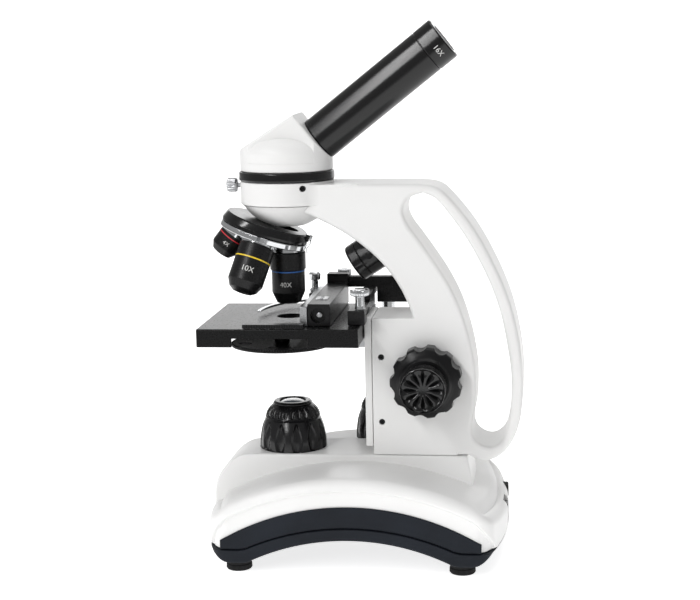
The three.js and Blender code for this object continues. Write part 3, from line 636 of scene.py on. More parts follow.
def dome(base):
    """Side line of the lamp house and the brightness knob, with a groove below its shoulder."""
    size = base / LAMP_RADIUS
    lower = spline([(base, 0), (18.95 * size, 6), (17.9 * size, 11.5), (16.1 * size, 16.6)], 10)
    groove = [(15.5 * size, 16.95), (15.3 * size, 17.3), (15.5 * size, 17.7), (15.9 * size, 18.05)]
    upper = spline([(15.8 * size, 18.2), (14.9 * size, 20.6), (13.4 * size, 22.9), (11.5 * size, 24.8)], 8)
    rim = [(11.3 * size, 25.0), (10.9 * size, 25.1)]
    return lower + groove + upper + rim


def fluted(radius, height, angle):
    """Presses the flutes and slots into the dome."""
    if 0.2 < height < 15.6 and radius > 9:
        tall = sin(pi * min(max((height + 2.5) / 18.2, 0), 1)) ** 0.7
        return radius - 1.5 * flute(angle, 12, 0.62 * tall + 0.02) ** 0.8, height
    if 18.6 < height < 24.0 and radius > 9:
        tall = sin(pi * (height - 18.4) / 5.8) ** 0.6
        return radius - 1.0 * flute(angle, 24, 0.66 * tall + 0.02) ** 0.7, height
    return radius, height


def lamp_house():
    inside = [(9.2, 25.1), (9.1, 23.5), (12.6, 17), (14, 6), (14.6, 0)]
    return turned(dome(LAMP_RADIUS) + inside, 360, shape=fluted)


def brightness_knob():
    profile = [(0, 8), (3.2, 8), (3.2, 0)] + dome(16.5) + [(8, 25.7), (4, 26), (0, 26)]
    return turned(profile, 300, shape=fluted)


def lamp_cap():
    profile = [(7.4, 23), (8.7, 23), (8.7, 25.3), (11.2, 25.3), (11.15, 25.8), (10.3, 26.9),
               (8.3, 27), (7.6, 26.7), (7.4, 26.2)]
    return turned(profile, 96, 0.25)


def condenser():
    crown = spline([(7.0, 26.0), (4.9, 26.8), (2.5, 27.25), (0, 27.4)], 5)
    return turned([(0, 23.4), (7.1, 23.4), (7.1, 25.8)] + crown, 72)


def rocker():
    """Rocker with a finger dish, in its own frame."""
    outline = [(-4, -3.6), (4.4, -4.6), (3.9, 0, 3), (4.4, 4.6), (-4, 3.6)]
    body = sideways(softened(outline, 0.5, closed=True), 4.3, 0.4)
    return moved(body, Matrix.Rotation(radians(7), 4, "Y"))


def power_socket():
    profile = [(2.9, 112.5), (2.9, 122.2), (3.3, 122.6), (5, 122.6), (5.5, 122.1), (5.5, 111), (5.3, 110)]
    pin = rod(1, 112, 120.6, 24, 0.4)
    whole = moved(together(turned(profile, 64), rod(5.3, 110, 112.6), pin), RIGHT)
    return shifted(whole, *SOCKET_PLACE)


def build_base():
    piece("base_shell", together(base_shell(), deck()), "stand", WHITE, "base_housing")
    tray = plan_solid(tray_rows(), seam_height, tray_low)
    piece("base_tray_skin", tray, "stand", TRIM, "base_tray")
    for side, node in ((-1, "side_trim_near"), (1, "side_trim_far")):
        panel = shifted(sideways(trim_outline(0.3), 1.2, 0.5, steps=3), BASE_MIDDLE, side * TRIM_PLACE)
        piece(node + "_panel", panel, "stand", TRIM, node)
    for i in range(1, FEET + 1):
        low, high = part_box(f"foot_{i}")
        middle = (low + high) / 2 / MM
        at = Matrix.Translation((middle.x, middle.y, 0))
        piece(f"rubber_foot_{i}", foot(), "stand", RUBBER, f"foot_{i}", at=at)
    surround = cut(brick(120.1, 121.6, -6.2, 6.2, 14.9, 28.3, 0.3), brick(110, 130, -4.6, 4.6, 16.2, 27, 0))
    piece("switch_frame", surround, "stand", BLACK, "rocker_bezel")
    at = Matrix.Translation(place_of("switch_rock"))
    piece("switch_rocker", rocker(), "lamp_switch", GLOSS, "rocker_switch", at=at)
    piece("power_socket", power_socket(), "stand", BLACK, "power_inlet")
    piece("brightness_dial_knob", brightness_knob(), "brightness_dial", GLOSS,
          "brightness_knob", at=over("brightness_turn", DIAL_LEVEL))


def build_deck_lamp():
    deck_top = Matrix.Translation((AXIS_X, 0, FOOT_LEVEL))
    piece("lamp_house", lamp_house(), "stand", GLOSS, "illuminator_housing", at=deck_top)
    piece("lamp_cap", lamp_cap(), "stand", GLOSS, "illuminator_cap", at=deck_top)
    piece("lamp_condenser", condenser(), "stand", GLASS, "condenser_lens", at=deck_top)


# ---- arm
HEAD_RADIUS = 26.4
HEAD_LOW, HEAD_HIGH = 198.4, 211.3
ARM_HALF = 20.0
ARM_TOP = 210.0
COLUMN_TOP = 135.4
CLAMP_HEIGHT = 208.7
# Place in X and Z and length of each grub screw.
SCREWS = {"column_screw_upper": (53.8, 113.5, 4.0), "column_screw_lower": (53.8, 76.6, 4.0),
          "head_set_screw": (12.3, 208.2, 3.6)}


def arm_outline():
    """Side view of the handle, the arm and the column, once round."""
    outer = spline([(101.8, FOOT_LEVEL), (110.5, 54.6), (119.5, 57.6), (126.5, 66), (131, 79),
                    (132.5, 98), (131.2, 118), (126.6, 141), (118, 163.5), (106, 185.6), (92, 203.2),
                    (84.5, 208.6), (74, ARM_TOP)], 7)
    inner = spline([(0, 197), (8, 195.4), (18, 191.8), (36, 182), (52.5, 168.8), (64, 153.8),
                    (70.8, 139), (71.2, COLUMN_TOP)], 7)
    return [(60, FOOT_LEVEL)] + outer + [(0, ARM_TOP)] + inner + [(60, COLUMN_TOP)]


def handle_hole():
    return spline([(78, 205), (70.5, 202), (67.3, 195), (69.8, 187.3), (75.5, 179.5), (88.5, 160.4),
                   (97, 143.7), (102.6, 126), (105.6, 110), (106.4, 98), (105.7, 84), (104, 74),
                   (105.4, 67.4), (110.6, 63.3), (116.6, 63.3), (122, 68.5), (124.6, 79), (126, 92),
                   (126, 104), (124.2, 118), (120.7, 136.3), (115, 153.5), (107.8, 169),
                   (100.6, 181.6), (93, 192.4), (85.2, 201.7), (78, 205)], 5)[:-1]


def bowl_line(offset):
    """The round underside of the head, from its rim down to its bore."""
    rim_radius, rim, bottom, bore = 24.6, 197.6, 184.2, 10
    rise, steps = rim - bottom, 14
    radius = (rim_radius ** 2 + rise ** 2) / (2 * rise)
    start, end = asin(rim_radius / radius), asin(bore / radius)
    line = []
    for i in range(steps + 1):
        angle = start + (end - start) * i / steps
        reach = radius + offset
        line.append((reach * sin(angle), bottom + radius - reach * cos(angle)))
    return line


def head_boss():
    """Round boss with webs that run smoothly into the sides of the arm."""
    web = 12.0
    reach = sqrt((HEAD_RADIUS + web) ** 2 - (ARM_HALF + web - 0.05) ** 2)
    start = atan2(ARM_HALF + web, reach)
    outline = [(42, -ARM_HALF + 1), (reach, -ARM_HALF + 0.05)]
    steps = 8
    for i in range(1, steps):
        turn = pi / 2 - (pi / 2 - start) * i / steps
        outline.append((reach - web * cos(turn), -(ARM_HALF + web) + web * sin(turn)))
    round_steps = 90
    for i in range(round_steps + 1):
        angle = -start - (2 * pi - 2 * start) * i / round_steps
        outline.append((HEAD_RADIUS * cos(angle), HEAD_RADIUS * sin(angle)))
    mirror = [(x, -y) for x, y in outline[1:steps + 1]]
    boss = slab(outline + mirror[::-1] + [(42, ARM_HALF - 1)], HEAD_LOW, HEAD_HIGH, 0.7, steps=3)
    clear, high = HEAD_RADIUS + 0.01, ARM_TOP - 0.05
    beyond = turned([(clear, high), (60, high), (60, 220), (clear, 220)], 96)
    return cut(boss, beyond)


def cross_hole(radius, reach, x, z):
    """What a hole from side to side takes away."""
    return shifted(moved(rod(radius, -reach, reach), NEAR), x, 0, z)


def arm_casting():
    handle = sideways(arm_outline(), ARM_HALF, 2.6, [handle_hole()], steps=5)
    column = brick(48.8, 96, -ARM_HALF, ARM_HALF, FOOT_LEVEL, COLUMN_TOP, 0.5)
    shape = joined(handle, column, head_boss())
    seat = turned([(0, HEAD_LOW), (25.7, HEAD_LOW)] + bowl_line(0.3) + [(10, 165), (0, 165)], 96)
    head_bore = rod(18.1, 203.5, 220)
    slide_way = brick(40, 84, -12.6, 12.6, 80, 131, 0)
    shaft_hole = cross_hole(3.8, 40, 79.5, 101.5)
    lamp_pocket = moved(rod(13.2, -12.5, 40), STAND.inverted() @ LAMP)
    pivot = cross_hole(2.1, 17, 47.6, 169.9)
    lock_hole = shifted(moved(rod(1.6, -40, 0), RIGHT), 0, 0, CLAMP_HEIGHT)
    holes = [shifted(moved(rod(1.75, 14, 30, 32), NEAR), x, 0, z) for x, z, _ in SCREWS.values()]
    return cut(shape, seat, head_bore, slide_way, shaft_hole, lamp_pocket, pivot, lock_hole, *holes)


def socket_screw(length):
    """Small grub screw with a six-sided socket."""
    body = rod(1.45, 0, length, 32, 0.25)
    return moved(cut(body, rod(0.8, length - 1.5, length + 1, 6)), NEAR)


def front_plate():
    plate = brick(44.6, 48.5, -19.8, 19.8, 62.6, COLUMN_TOP, 0.5)
    return cut(plate, brick(40, 50, -9.4, 9.4, 101.5, 131, 0))


def head_bowl():
    profile = bowl_line(0)[::-1] + [(25.1, 197.75), (25.4, 198.1), (10, 198.1)]
    body = turned(profile, 128)
    below = moved(brick(-60, 60, -60, 60, -60, 6.3, 0), STAND.inverted() @ NOSE)
    return cut(body, below)


def ribbed(radius, height, angle, count=14, depth=0.5, low=11.5, high=15.7, least=3.0):
    """Coarse knurl between two heights."""
    if low < height < high and radius > least:
        return radius - depth * (0.5 - 0.5 * cos(count * angle)) ** 2, height
    return radius, height


def lock_screw():
    """Knurled screw that points along -X from the head."""
    profile = [(0, 0), (1.25, 0.6), (1.25, 10), (2.4, 10.3), (3.4, 10.5), (3.95, 11.2), (3.95, 11.6),
               (3.95, 13.6), (3.95, 15.6), (3.6, 16.2), (2.6, 16.4), (2.4, 16.1), (0, 16.1)]
    body = turned(profile, 168, 0.15, ribbed)
    return shifted(moved(body, Matrix.Rotation(-pi / 2, 4, "Y")), -18, 0, CLAMP_HEIGHT)


def build_arm():
    piece("arm_casting", arm_casting(), "stand", WHITE, "arm", sharp=30)
    piece("front_plate", front_plate(), "stand", WHITE, "column_front_plate")
    for node, (x, z, length) in SCREWS.items():
        inner_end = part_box(node)[1].y / MM
        grub = shifted(socket_screw(length), x, inner_end, z)
        piece(node + "_grub", grub, "stand", DARK, node, slot="black_metal")
    piece("head_bowl", head_bowl(), "stand", WHITE, "nosepiece_bowl")
    piece("head_clamp_screw", lock_screw(), "head_lock", STEEL, "head_lock_screw", slot="chrome")


# ---- nosepiece
PITCH = 13.5
TILT = 19  # degrees between an objective and the turret's axis
CLICKED = 3  # degrees that the turret stands past its notch
# Degrees round the turret from the place that is clicked in.
PLACES = {"objective_40x": 0, "objective_10x": -90, "objective_4x": 180, "nosepiece_plug": 90}


def place_frame(turn):
    """Frame of one place on the turret, Z up its own axis."""
    spin = Matrix.Rotation(radians(turn + CLICKED), 4, "Z")
    return spin @ Matrix.Translation((PITCH, 0, 0)) @ Matrix.Rotation(radians(-TILT), 4, "Y")


def nose_base():
    profile = [(3.4, 0.4), (24.9, 0.4), (25.2, 0.7), (25.2, 2.0), (24.6, 3.2), (23.8, 5.2), (23.2, 6),
               (3.4, 6)]
    plate = turned(profile, 128, 0.3)
    spring_seat = shifted(moved(rod(1.9, 20, 25.7, 40), RIGHT), 0, 0, 4.0)
    return cut(joined(plate, spring_seat), moved(rod(6.6, -10, 20), place_frame(-CLICKED)))


def click_spring():
    """Bent spring strip with a pip that drops into the turret's notches, and its screw."""
    line = [(25.95, 7.3), (26, 5.4), (26.25, 3.8), (27.1, 2.1), (26.7, 0.2), (26.1, -1.4), (26.6, -3),
            (27.2, -4.4)]
    middle = spline(line, 5)
    upper, lower = [], []
    for i, point in enumerate(middle):
        step = Vector(middle[min(i + 1, len(middle) - 1)]) - Vector(middle[max(i - 1, 0)])
        side = Vector((-step.y, step.x)).normalized() * 0.22
        upper.append(tuple(Vector(point) + side))
        lower.append(tuple(Vector(point) - side))
    strip = sideways(upper + lower[::-1], 2.0, 0.08)
    screw = turned([(0, 26.1), (1.7, 26.1), (1.7, 27.1), (0, 27.4)], 32, 0.2)
    return together(strip, shifted(moved(screw, RIGHT), 0, 0, 4.6))


def turret():
    """Chromed disc with a notch in its rim at each place, and the threaded collars below it."""
    def notched(radius, height, angle):
        if radius > 24:
            turn = ((angle - radians(CLICKED)) / (pi / 2) + 0.5) % 1 - 0.5
            return radius - 1.1 * max(1 - abs(turn) / 0.026, 0), height
        return radius, height

    profile = [(3, -4.4), (15, -4.4), (24.6, -3.35), (25.2, -3.1), (25.4, -2.8), (25.4, -0.4),
               (25.1, -0.1), (24.7, 0), (3, 0)]
    disc = turned(profile, 480, 0.2, notched)
    axle = rod(3.1, -4.4, 5.4)
    holes = [moved(rod(6.7, -12, 8), place_frame(turn)) for turn in PLACES.values()]
    collars = [moved(rod(9.4, -7.1, 2, 64), place_frame(turn)) for turn in PLACES.values()]
    under = brick(-40, 40, -40, 40, -40, -0.5, 0)
    collars = common(joined(*collars), under)
    return cut(joined(disc, axle, collars), *holes)


def barrel(outside, tip, bore):
    """Hollow objective from its thread down to its front lens."""
    thread = [(bore, -2.6), (6.4, -2.6), (6.4, -7.4)]
    front = [(bore + 1.2, tip), (bore + 0.4, tip + 0.5), (bore, tip + 1.4)]
    return turned(thread + outside + front, 96, 0.22)


OBJECTIVES = {
    "objective_4x": {
        "outside": [(7.7, -7.4), (8.05, -7.7), (8.05, -16.8, 0.5), (6, -20), (5.6, -20.5)],
        "tip": -20.9, "bore": 2.9, "band": (8.05, -9.5, 0.6), "look": RED, "mark": ("4X", -13.3, 3.2),
    },
    "objective_10x": {
        "outside": [(9.8, -7.4), (10.1, -7.8), (10.1, -28.7, 0.6), (7.9, -33, 0.4), (5.4, -34.6)],
        "tip": -34.9, "bore": 2.4, "band": (10.1, -15.5, 0.8), "look": YELLOW,
        "mark": ("10X", -22.4, 4.4),
    },
    "objective_40x": {
        "outside": [(9.9, -7.4), (10.2, -7.8), (10.2, -17.2), (9.45, -17.8), (9.45, -30.3, 0.5),
                    (6.8, -36.2, 0.3), (5.6, -36.9)],
        "tip": -37.1, "bore": 2.4, "band": (9.5, -18.2, 0.7), "look": BLUE, "mark": ("40X", -25.4, 4.0),
    },
}


def band(radius, height, width):
    """Painted ring let into a barrel."""
    proud = 0.06
    inner, outer, half = radius - 0.4, radius + proud, width / 2
    return turned([(inner, height - half), (outer, height - half), (outer, height + half),
                   (inner, height + half)], 96)


def numerals(text, size, radius, angle, height):
    """Thin raised numerals wrapped round a barrel, reading upright from outside, about Z."""
    curve = bpy.data.curves.new("text", "FONT")
    curve.body = text
    curve.size = size
    curve.align_x = "CENTER"
    curve.align_y = "CENTER"
    relief, thinning = 0.05, 0.03
    curve.extrude = relief
    curve.offset = -thinning
    curve.resolution_u = 3
    mesh = mesh_of(curve)
    bmesh.ops.triangulate(mesh, faces=mesh.faces)
    bmesh.ops.subdivide_edges(mesh, edges=mesh.edges[:], cuts=1)
    for vertex in mesh.verts:
        across, up, out = vertex.co
        turn = angle + across / radius
        reach = radius + relief + out
        vertex.co = (reach * cos(turn), reach * sin(turn), height + up)
    return mesh


def dust_plug():
    profile = [(0, -2.6), (6.4, -2.6), (6.4, -7.4), (8.7, -7.4), (9, -7.9), (8.9, -9), (8.4, -10.5),
               (0, -10.8)]
    return turned(profile, 72, 0.25)


def front_angle(turn):
    """Angle about a barrel's own axis that faces the near side."""
    return radians(-90 - turn - CLICKED)


def objective_lens(tip, bore):
    rim = bore + 0.1
    return turned([(0, tip + 1.5), (rim, tip + 1.2), (rim, tip + 3), (0, tip + 3)], 32)


def build_nosepiece():
    piece("nose_base", nose_base(), "stand", GLOSS, "nosepiece_base", slot="black_anodised", at=NOSE)
    piece("click_strip", click_spring(), "stand", CHROME, "click_spring", at=NOSE)
    piece("turret_disc", turret(), "nosepiece", CHROME, "turret", at=NOSE)
    for node, facts in OBJECTIVES.items():
        here = NOSE @ place_frame(PLACES[node])
        tip, bore = facts["tip"], facts["bore"]
        body = barrel(facts["outside"], tip, bore)
        piece(node + "_barrel", body, "nosepiece", DARK, node, at=here)
        piece(node + "_lens", objective_lens(tip, bore), "nosepiece", GLASS, at=here)
        ring = band(*facts["band"])
        piece(node + "_band", ring, "nosepiece", facts["look"], at=here)
        text, height, size = facts["mark"]
        mark = numerals(text, size, facts["band"][0], front_angle(PLACES[node]), height)
        piece(node + "_mark", mark, "nosepiece", WHITE_MARK, at=here, weighted=False)
    here = NOSE @ place_frame(PLACES["nosepiece_plug"])
    piece("turret_plug", dust_plug(), "nosepiece", BLACK, "nosepiece_plug", at=here)


# ---- head
TUBE_SLOPE = radians(38)
FACE_REACH = 23.6  # from the crossing to the head's face, along the tube
CAP_RADIUS = 12.7


def head_ring():
    profile = [(14.5, 204.5), (17.7, 204.5), (17.1, 208.5), (17.7, 211.6), (26.2, 211.6), (26.8, 212),
               (27, 212.6), (27, 216), (26.8, 216.5), (26.2, 216.8), (14.5, 216.8)]
    return turned(profile, 160, 0.2)


def head_outline():
    """Side view of the slanted head; its right end is square to the tube."""
    slope = tan(TUBE_SLOPE)
    face = TUBE_CROSSING + FACE_REACH / sin(TUBE_SLOPE)
    peak = 248.6
    return [(-26.5, 217.1), (-26.5, 228.1), (-24, 229.6), ((face - peak) * slope, peak),
            (26.5, face - 26.5 / slope), (26.5, 217.1)]


def head_housing():
    """Round turntable whose domed top runs into a flat-sided wedge."""
    outline = head_outline()
    dome_height, dome_start = 13.0, 226.5
    arc = [(26.2 * cos(a), dome_start + dome_height * sin(a))
           for a in (radians(90 * i / 18) for i in range(18))]
    lower = [(0, 217.1), (25.7, 217.1), (26.2, 217.6), (26.2, 221.9), (26.0, 222.1), (26.0, 222.3)]
    table = turned(lower + arc + [(0, dome_start + dome_height)], 160)
    table = common(table, sideways(outline, 40, 0.8))
    wedge = sideways(outline, 18.6, 1.3, steps=3)
    wedge = common(wedge, rod(26.15, 217.6, 260, 160))
    beyond = moved(rod(50, FACE_REACH, 100), STAND.inverted() @ TUBE)
    bore = moved(rod(12.3, 0, 60, 64), STAND.inverted() @ TUBE)
    light_bore = rod(13, 210, 232, 64)
    return cut(joined(table, wedge), beyond, light_bore, bore)


def eyepiece_tube():
    profile = [(10.2, 12), (12, 12), (12, 23.9), (12.6, 24.4), (12.6, 101.0), (12.4, 101.2),
               (11.75, 101.2), (11.75, 56), (10.2, 55)]
    return turned(profile, 128, 0.15)


def eyepiece_cap():
    profile = [(9.2, 58), (11.6, 58), (11.6, 101.5), (12.5, 101.5), (CAP_RADIUS, 101.8),
               (CAP_RADIUS, 112.3), (12.4, 112.9), (11.9, 113.2), (11.2, 113.2), (11.0, 112.8),
               (9.0, 112.6), (9.0, 110.6), (9.2, 110.6)]
    return turned(profile, 128, 0.12)


def eyepiece_ring():
    """Bright ring round the eye lens."""
    profile = [(7.9, 111.2), (10.9, 112.75), (10.9, 113.1), (10.3, 113.2), (8.3, 112.2), (7.9, 111.9)]
    return turned(profile, 128, 0.1)


def eye_lens():
    crown = spline([(8.8, 109.7), (4.5, 110.25), (0, 110.4)])
    return turned([(0, 107.2), (8.9, 107.8), (8.9, 109.6)] + crown, 72)


def build_head():
    piece("head_band", head_ring(), "head", GLOSS, "head_ring", "head_spigot", slot="black_anodised")
    piece("head_shell", head_housing(), "head", WHITE, "head_housing", sharp=30)
    piece("body_tube", eyepiece_tube(), "head", SATIN, "eyepiece_tube", at=TUBE)
    piece("eyepiece_cap", eyepiece_cap(), "eyepiece", SATIN, "eyepiece", at=TUBE)
    piece("eyepiece_ring", eyepiece_ring(), "eyepiece", CHROME, at=TUBE)
    piece("eye_lens", eye_lens(), "eyepiece", GLASS, "eyepiece_lens", at=TUBE)
    mark = numerals("16X", 4.2, CAP_RADIUS, radians(-70), 107.2)
    piece("eyepiece_mark", mark, "eyepiece", WHITE_MARK, at=TUBE, weighted=False)


# ---- focus drive
KNOB_START = 21.5  # from the middle to the coarse knobs


def scalloped(radius, height, angle):
    """Round bites out of the rim of the coarse knob."""
    reach, bite, count = 22.6, 4.6, 11
    pitch = 2 * pi / count
    turn = (angle + pitch / 2) % pitch - pitch / 2
    inside = bite * bite - (reach * sin(turn)) ** 2
    if inside <= 0:
        return radius, height
    edge = reach * cos(turn) - sqrt(inside)
    return min(radius, edge), height


def coarse_knob():
    profile = [(3.7, 0), (18.4, 0), (19.5, 0.5), (20, 1.6), (20, 9.5), (19.7, 10.9), (18.8, 12),
               (17.4, 12.9), (15.9, 13.6), (14.6, 14.6), (13.9, 15.7), (13.5, 16.4), (3.7, 16.4)]
    return turned(profile, 660, 0.25, scalloped)


def petalled(radius, height, angle):
    """Twelve folds that fan out over the dished face of the fine knob."""
    if height > 29 and radius < 11.9:
        share = max(radius - 2.6, 0) / 9.3
        fold = abs(sin(6 * angle))
        return radius, height - 1.9 * sin(pi * share ** 1.1) * (1 - fold) ** 1.2
    return radius, height


def fine_knob():
    face = spline([(11.9, 32.0), (11.0, 31.2), (9.4, 30.9), (7, 30.9), (4.4, 30.5), (2.2, 30.1),
                   (0.02, 30.0)], 5)
    profile = [(0, 27.5), (1.9, 27.5), (1.9, 16.9), (11.9, 16.9), (12.3, 17.3), (12.4, 18), (12.4, 31.6),
               (12.25, 32.4), (12.0, 32.6)] + face + [(0, 30.0)]
    return turned(profile, 240, shape=petalled)


def build_focus():
    for side, turn, name in ((-1, NEAR, "near"), (1, FAR, "far")):
        at = FOCUS @ Matrix.Translation((0, side * KNOB_START, 0)) @ turn
        node = "coarse_knob_" + name
        piece("coarse_wheel_" + name, coarse_knob(), "coarse_drive", BLACK, node, at=at)
        node = "fine_knob_" + name
        piece("fine_wheel_" + name, fine_knob(), "fine_drive", GLOSS, node, at=at)


# ---- stage
DISC_RADIUS = 28.5
DISC_PIVOT = (-1.5, -21.4)
LEDGE = 133.8
FINGER_POST = (8, 43.4)


def stage_plate():
    body = brick(-45.5, 44.1, -45, 45, 123.3, 133.5, 0.6, 3)
    hollow = brick(-42.5, 41.1, -42, 42, 100, 130.5, 0)
    well = rod(7.5, 120, 140, 64)
    counter = turned([(0, 133), (7.5, 133), (8.2, 133.7), (0, 133.7)], 64)
    window = softened([(-26.2, 110), (16.8, 110), (16.8, 128.3), (-26.2, 128.3)], 0.8, closed=True)
    slot = sideways(window, 60, 0)
    slot = common(slot, brick(-60, 60, -60, -40, 100, 140, 0))
    gap = brick(40, 50, -9.4, 9.4, 100, 130.5, 0)
    hub = shifted(cut(rod(4.2, 123.3, 131), rod(2, 120, 129)), *DISC_PIVOT)
    return together(cut(body, hollow, well, counter, slot, gap), hub)


def disc_edge(radius, height, angle):
    """Fine teeth round the rim of the diaphragm disc."""
    if radius > 28:
        return radius - 0.6 * (0.5 - 0.5 * cos(120 * angle)) ** 2, height
    return radius, height


def diaphragm_disc():
    profile = [(2.3, 120.9), (27.6, 120.9), (28.3, 121.1), (DISC_RADIUS, 121.4), (DISC_RADIUS, 122.5),
               (28.3, 122.8), (27.6, 123), (2.3, 123)]
    disc = turned(profile, 720, shape=disc_edge)
    to_axis = -Vector(DISC_PIVOT)
    pitch, start = to_axis.length, atan2(to_axis.y, to_axis.x)
    holes = []
    for i, radius in enumerate((6.5, 5, 3.8, 2.7, 1.8, 1.1)):
        angle = start + i * pi / 3
        holes.append(shifted(rod(radius, 110, 130), pitch * cos(angle), pitch * sin(angle)))
    return cut(disc, *holes)


def disc_screw():
    profile = [(0, 119), (3.1, 119), (3.7, 119.5), (3.9, 120.6), (1.8, 120.6), (1.8, 128), (0, 128)]
    return cut(turned(profile, 48), brick(-5, 5, -0.45, 0.45, 110, 119.8, 0))


def build_stage():
    piece("stage_top", stage_plate(), "stage", STAGE_BLACK, "stage_plate")
    at = over("diaphragm_turn")
    piece("aperture_disc", diaphragm_disc(), "diaphragm", DARK, "diaphragm_disc", at=at)
    piece("disc_screw", disc_screw(), "stage", STEEL, "diaphragm_screw", at=at)


# ---- mechanical stage
def thumb_head(low, high, radius, teeth, stem, foot_low):
    """Knurled head on a stem; the teeth run between low and high."""
    def knurl(r, z, angle):
        return ribbed(r, z, angle, teeth, 0.3, low + 0.3, high - 0.3, radius - 0.6)

    profile = [(0, foot_low), (stem, foot_low), (stem, low - 1.0), (radius * 0.62, low - 0.6),
               (radius - 0.4, low), (radius, low + 0.35), (radius, (low + high) / 2), (radius, high - 0.35),
               (radius - 0.4, high), (radius * 0.55, high + 0.15), (radius * 0.5, high), (0, high)]
    return turned(profile, teeth * 8, shape=knurl)


def stage_rail():
    rail = brick(37.6, 43.8, -30, 44, LEDGE, 139.5, 0.35)
    seat = brick(37.2, 46.6, -34, -23.5, LEDGE, 142, 0.5, 3)
    return cut(joined(rail, seat), shifted(rod(2.1, 136, 150), 43.6, -29))


def cross_carriage():
    bar = brick(19, 68, 46.5, 53, 143, 149.5, 0.4)
    apron = brick(44.8, 68, 46.5, 53, 134, 143.5, 0.4)
    runner = brick(37.2, 44.2, 16, 53, 139.8, 143.6, 0.35)
    holder_lug = brick(19.5, 28.5, 52, 61.5, 143, 145.8, 0.6)
    rail_lug = brick(46.5, 54.5, 52, 61.5, 138, 141, 0.6)
    return together(bar, apron, runner, holder_lug, rail_lug)


def slide_holder():
    """Black block with a bored near end; a hanger over the bar behind carries it."""
    bar = brick(15.3, 27.8, -36, 46.2, LEDGE, 146, 0.4)
    bore = shifted(moved(rod(4.3, 32.5, 40, 48), NEAR), 21.2, 0, 139.6)
    bar = cut(bar, bore)
    web = brick(15.3, 27.8, 43.6, 46.2, 140, 151.4, 0.3)
    hanger = brick(15.3, 27.8, 43.6, 52.6, 149.8, 151.4, 0.4)
    tab = cut(brick(4.6, 15.6, 40.6, 46.2, 137.2, 140, 0.3), shifted(rod(1.5, 130, 150), *FINGER_POST))
    return together(bar, web, hanger, tab)


def holder_screw():
    """Slotted screw at the bottom of the block's bore."""
    head = turned([(0, 0), (1.5, 0), (1.5, 1.2), (0, 1.4)], 40, 0.25)
    head = cut(head, brick(-3, 3, -0.3, 0.3, 0.8, 3, 0))
    return shifted(moved(head, NEAR), 21.6, -32.6, 139.6)


def scale_plate():
    """Small bright plate on the block with its two rivets."""
    plate = brick(17.4, 24.2, -20.5, -10.5, 146, 146.35, 0.12)
    rivet = [(0, 146.2), (0.9, 146.2), (0.9, 146.6), (0, 146.75)]
    rivets = [shifted(turned(rivet, 24, 0.15), 20.8, y) for y in (-18.2, -12.8)]
    return together(plate, *rivets)


def holder_jaw():
    """Toothed strip along the near edge that the slide rests against."""
    teeth = []
    for i in range(23):
        x = -18.6 + 1.4 * i
        teeth += [(x, -44.3), (x + 0.75, -44.3), (x + 0.75, -43.75), (x + 1.4, -43.75)]
    outline = [(-19.7, -38.6), (-19.7, -44.3)] + teeth + [(14, -43.75), (14, -38.6)]
    return slab(outline, LEDGE, 135.9, 0.08, steps=1)


def sprung_finger():
    """Curved blade from its post out over the plate."""
    start, pull, end = Vector((7, 42.4)), Vector((-16, 30)), Vector((-18, -1))
    steps = 24
    outer, inner = [], []
    for i in range(steps + 1):
        t = i / steps
        at = bend(start, pull, end, t)
        step = ((pull - start) * (1 - t) + (end - pull) * t).normalized()
        half = 2 - 1.1 * t
        outer.append((at.x - half * step.y, at.y + half * step.x))
        inner.append((at.x + half * step.y, at.y - half * step.x))
    blade = slab(outer + inner[::-1], 135.6, 136.9, 0.3)
    profile = [(0, 134.4), (3.6, 134.4), (3.6, 136.9), (1.2, 136.9), (1.2, 140.4), (3.2, 140.4),
               (3.2, 142.5), (2.1, 143.2), (2.1, 147.6), (3.4, 148.2), (3.6, 151.6), (2.8, 152.6),
               (0, 152.8)]
    post = shifted(turned(profile, 72, 0.25), *FINGER_POST)
    return together(post, blade)


def thumb_screw():
    collar = [(1.5, 142.3), (2.9, 142.3), (2.5, 144, 0.4), (2.5, 149.4), (1.5, 149.4)]
    return together(thumb_head(149.9, 153.3, 5.3, 36, 1.9, 136.4), turned(collar, 72, 0.1))


def hanging_knob():
    """Long knurled knob below the carriage."""
    profile = [(0, 124), (3.4, 124.1), (4.1, 124.9), (4.1, 137.1), (3.8, 137.4), (1.5, 137.7),
               (1.5, 142.5), (0, 142.5)]
    return turned(profile, 240, 0.1, lambda r, z, angle: ribbed(r, z, angle, 30, 0.3, 125.2, 136.9, 3.6))


def build_mechanical_stage():
    piece("rail_and_clamp", stage_rail(), "stage", DARK, "stage_rail")
    piece("rail_stud", shifted(rod(2.1, 121, 123.3, 40, 0.3), 41, -31), "stage", STEEL)
    piece("thumb_screw", thumb_screw(), "rail_screw", CHROME, "rail_thumb_screw",
          at=over("rail_screw_turn"))
    piece("carriage_bar", cross_carriage(), "carriage", DARK, "cross_carriage")
    piece("holder_block", slide_holder(), "holder", DARK, "slide_holder")
    piece("holder_block_screw", holder_screw(), "holder", STEEL, slot="chrome")
    piece("scale_plate", scale_plate(), "holder", STEEL, slot="chrome")
    silver_bar = brick(11.1, 15, -36, 40.2, LEDGE, 144.6, 0.3)
    piece("silver_bar", silver_bar, "holder", STEEL, "holder_bar", slot="chrome")
    piece("toothed_jaw", holder_jaw(), "holder", DARK, "holder_jaw", slot="chrome")
    piece("slide_finger", sprung_finger(), "finger", CHROME, "sprung_finger")
    upper_knob = thumb_head(146.9, 152.4, 4.1, 30, 1.5, 141.5)
    piece("x_knob", upper_knob, "x_drive", CHROME, "x_drive_knob", at=over("x_knob_turn"))
    piece("y_knob", hanging_knob(), "y_drive", CHROME, "y_drive_knob", at=over("y_knob_turn"))


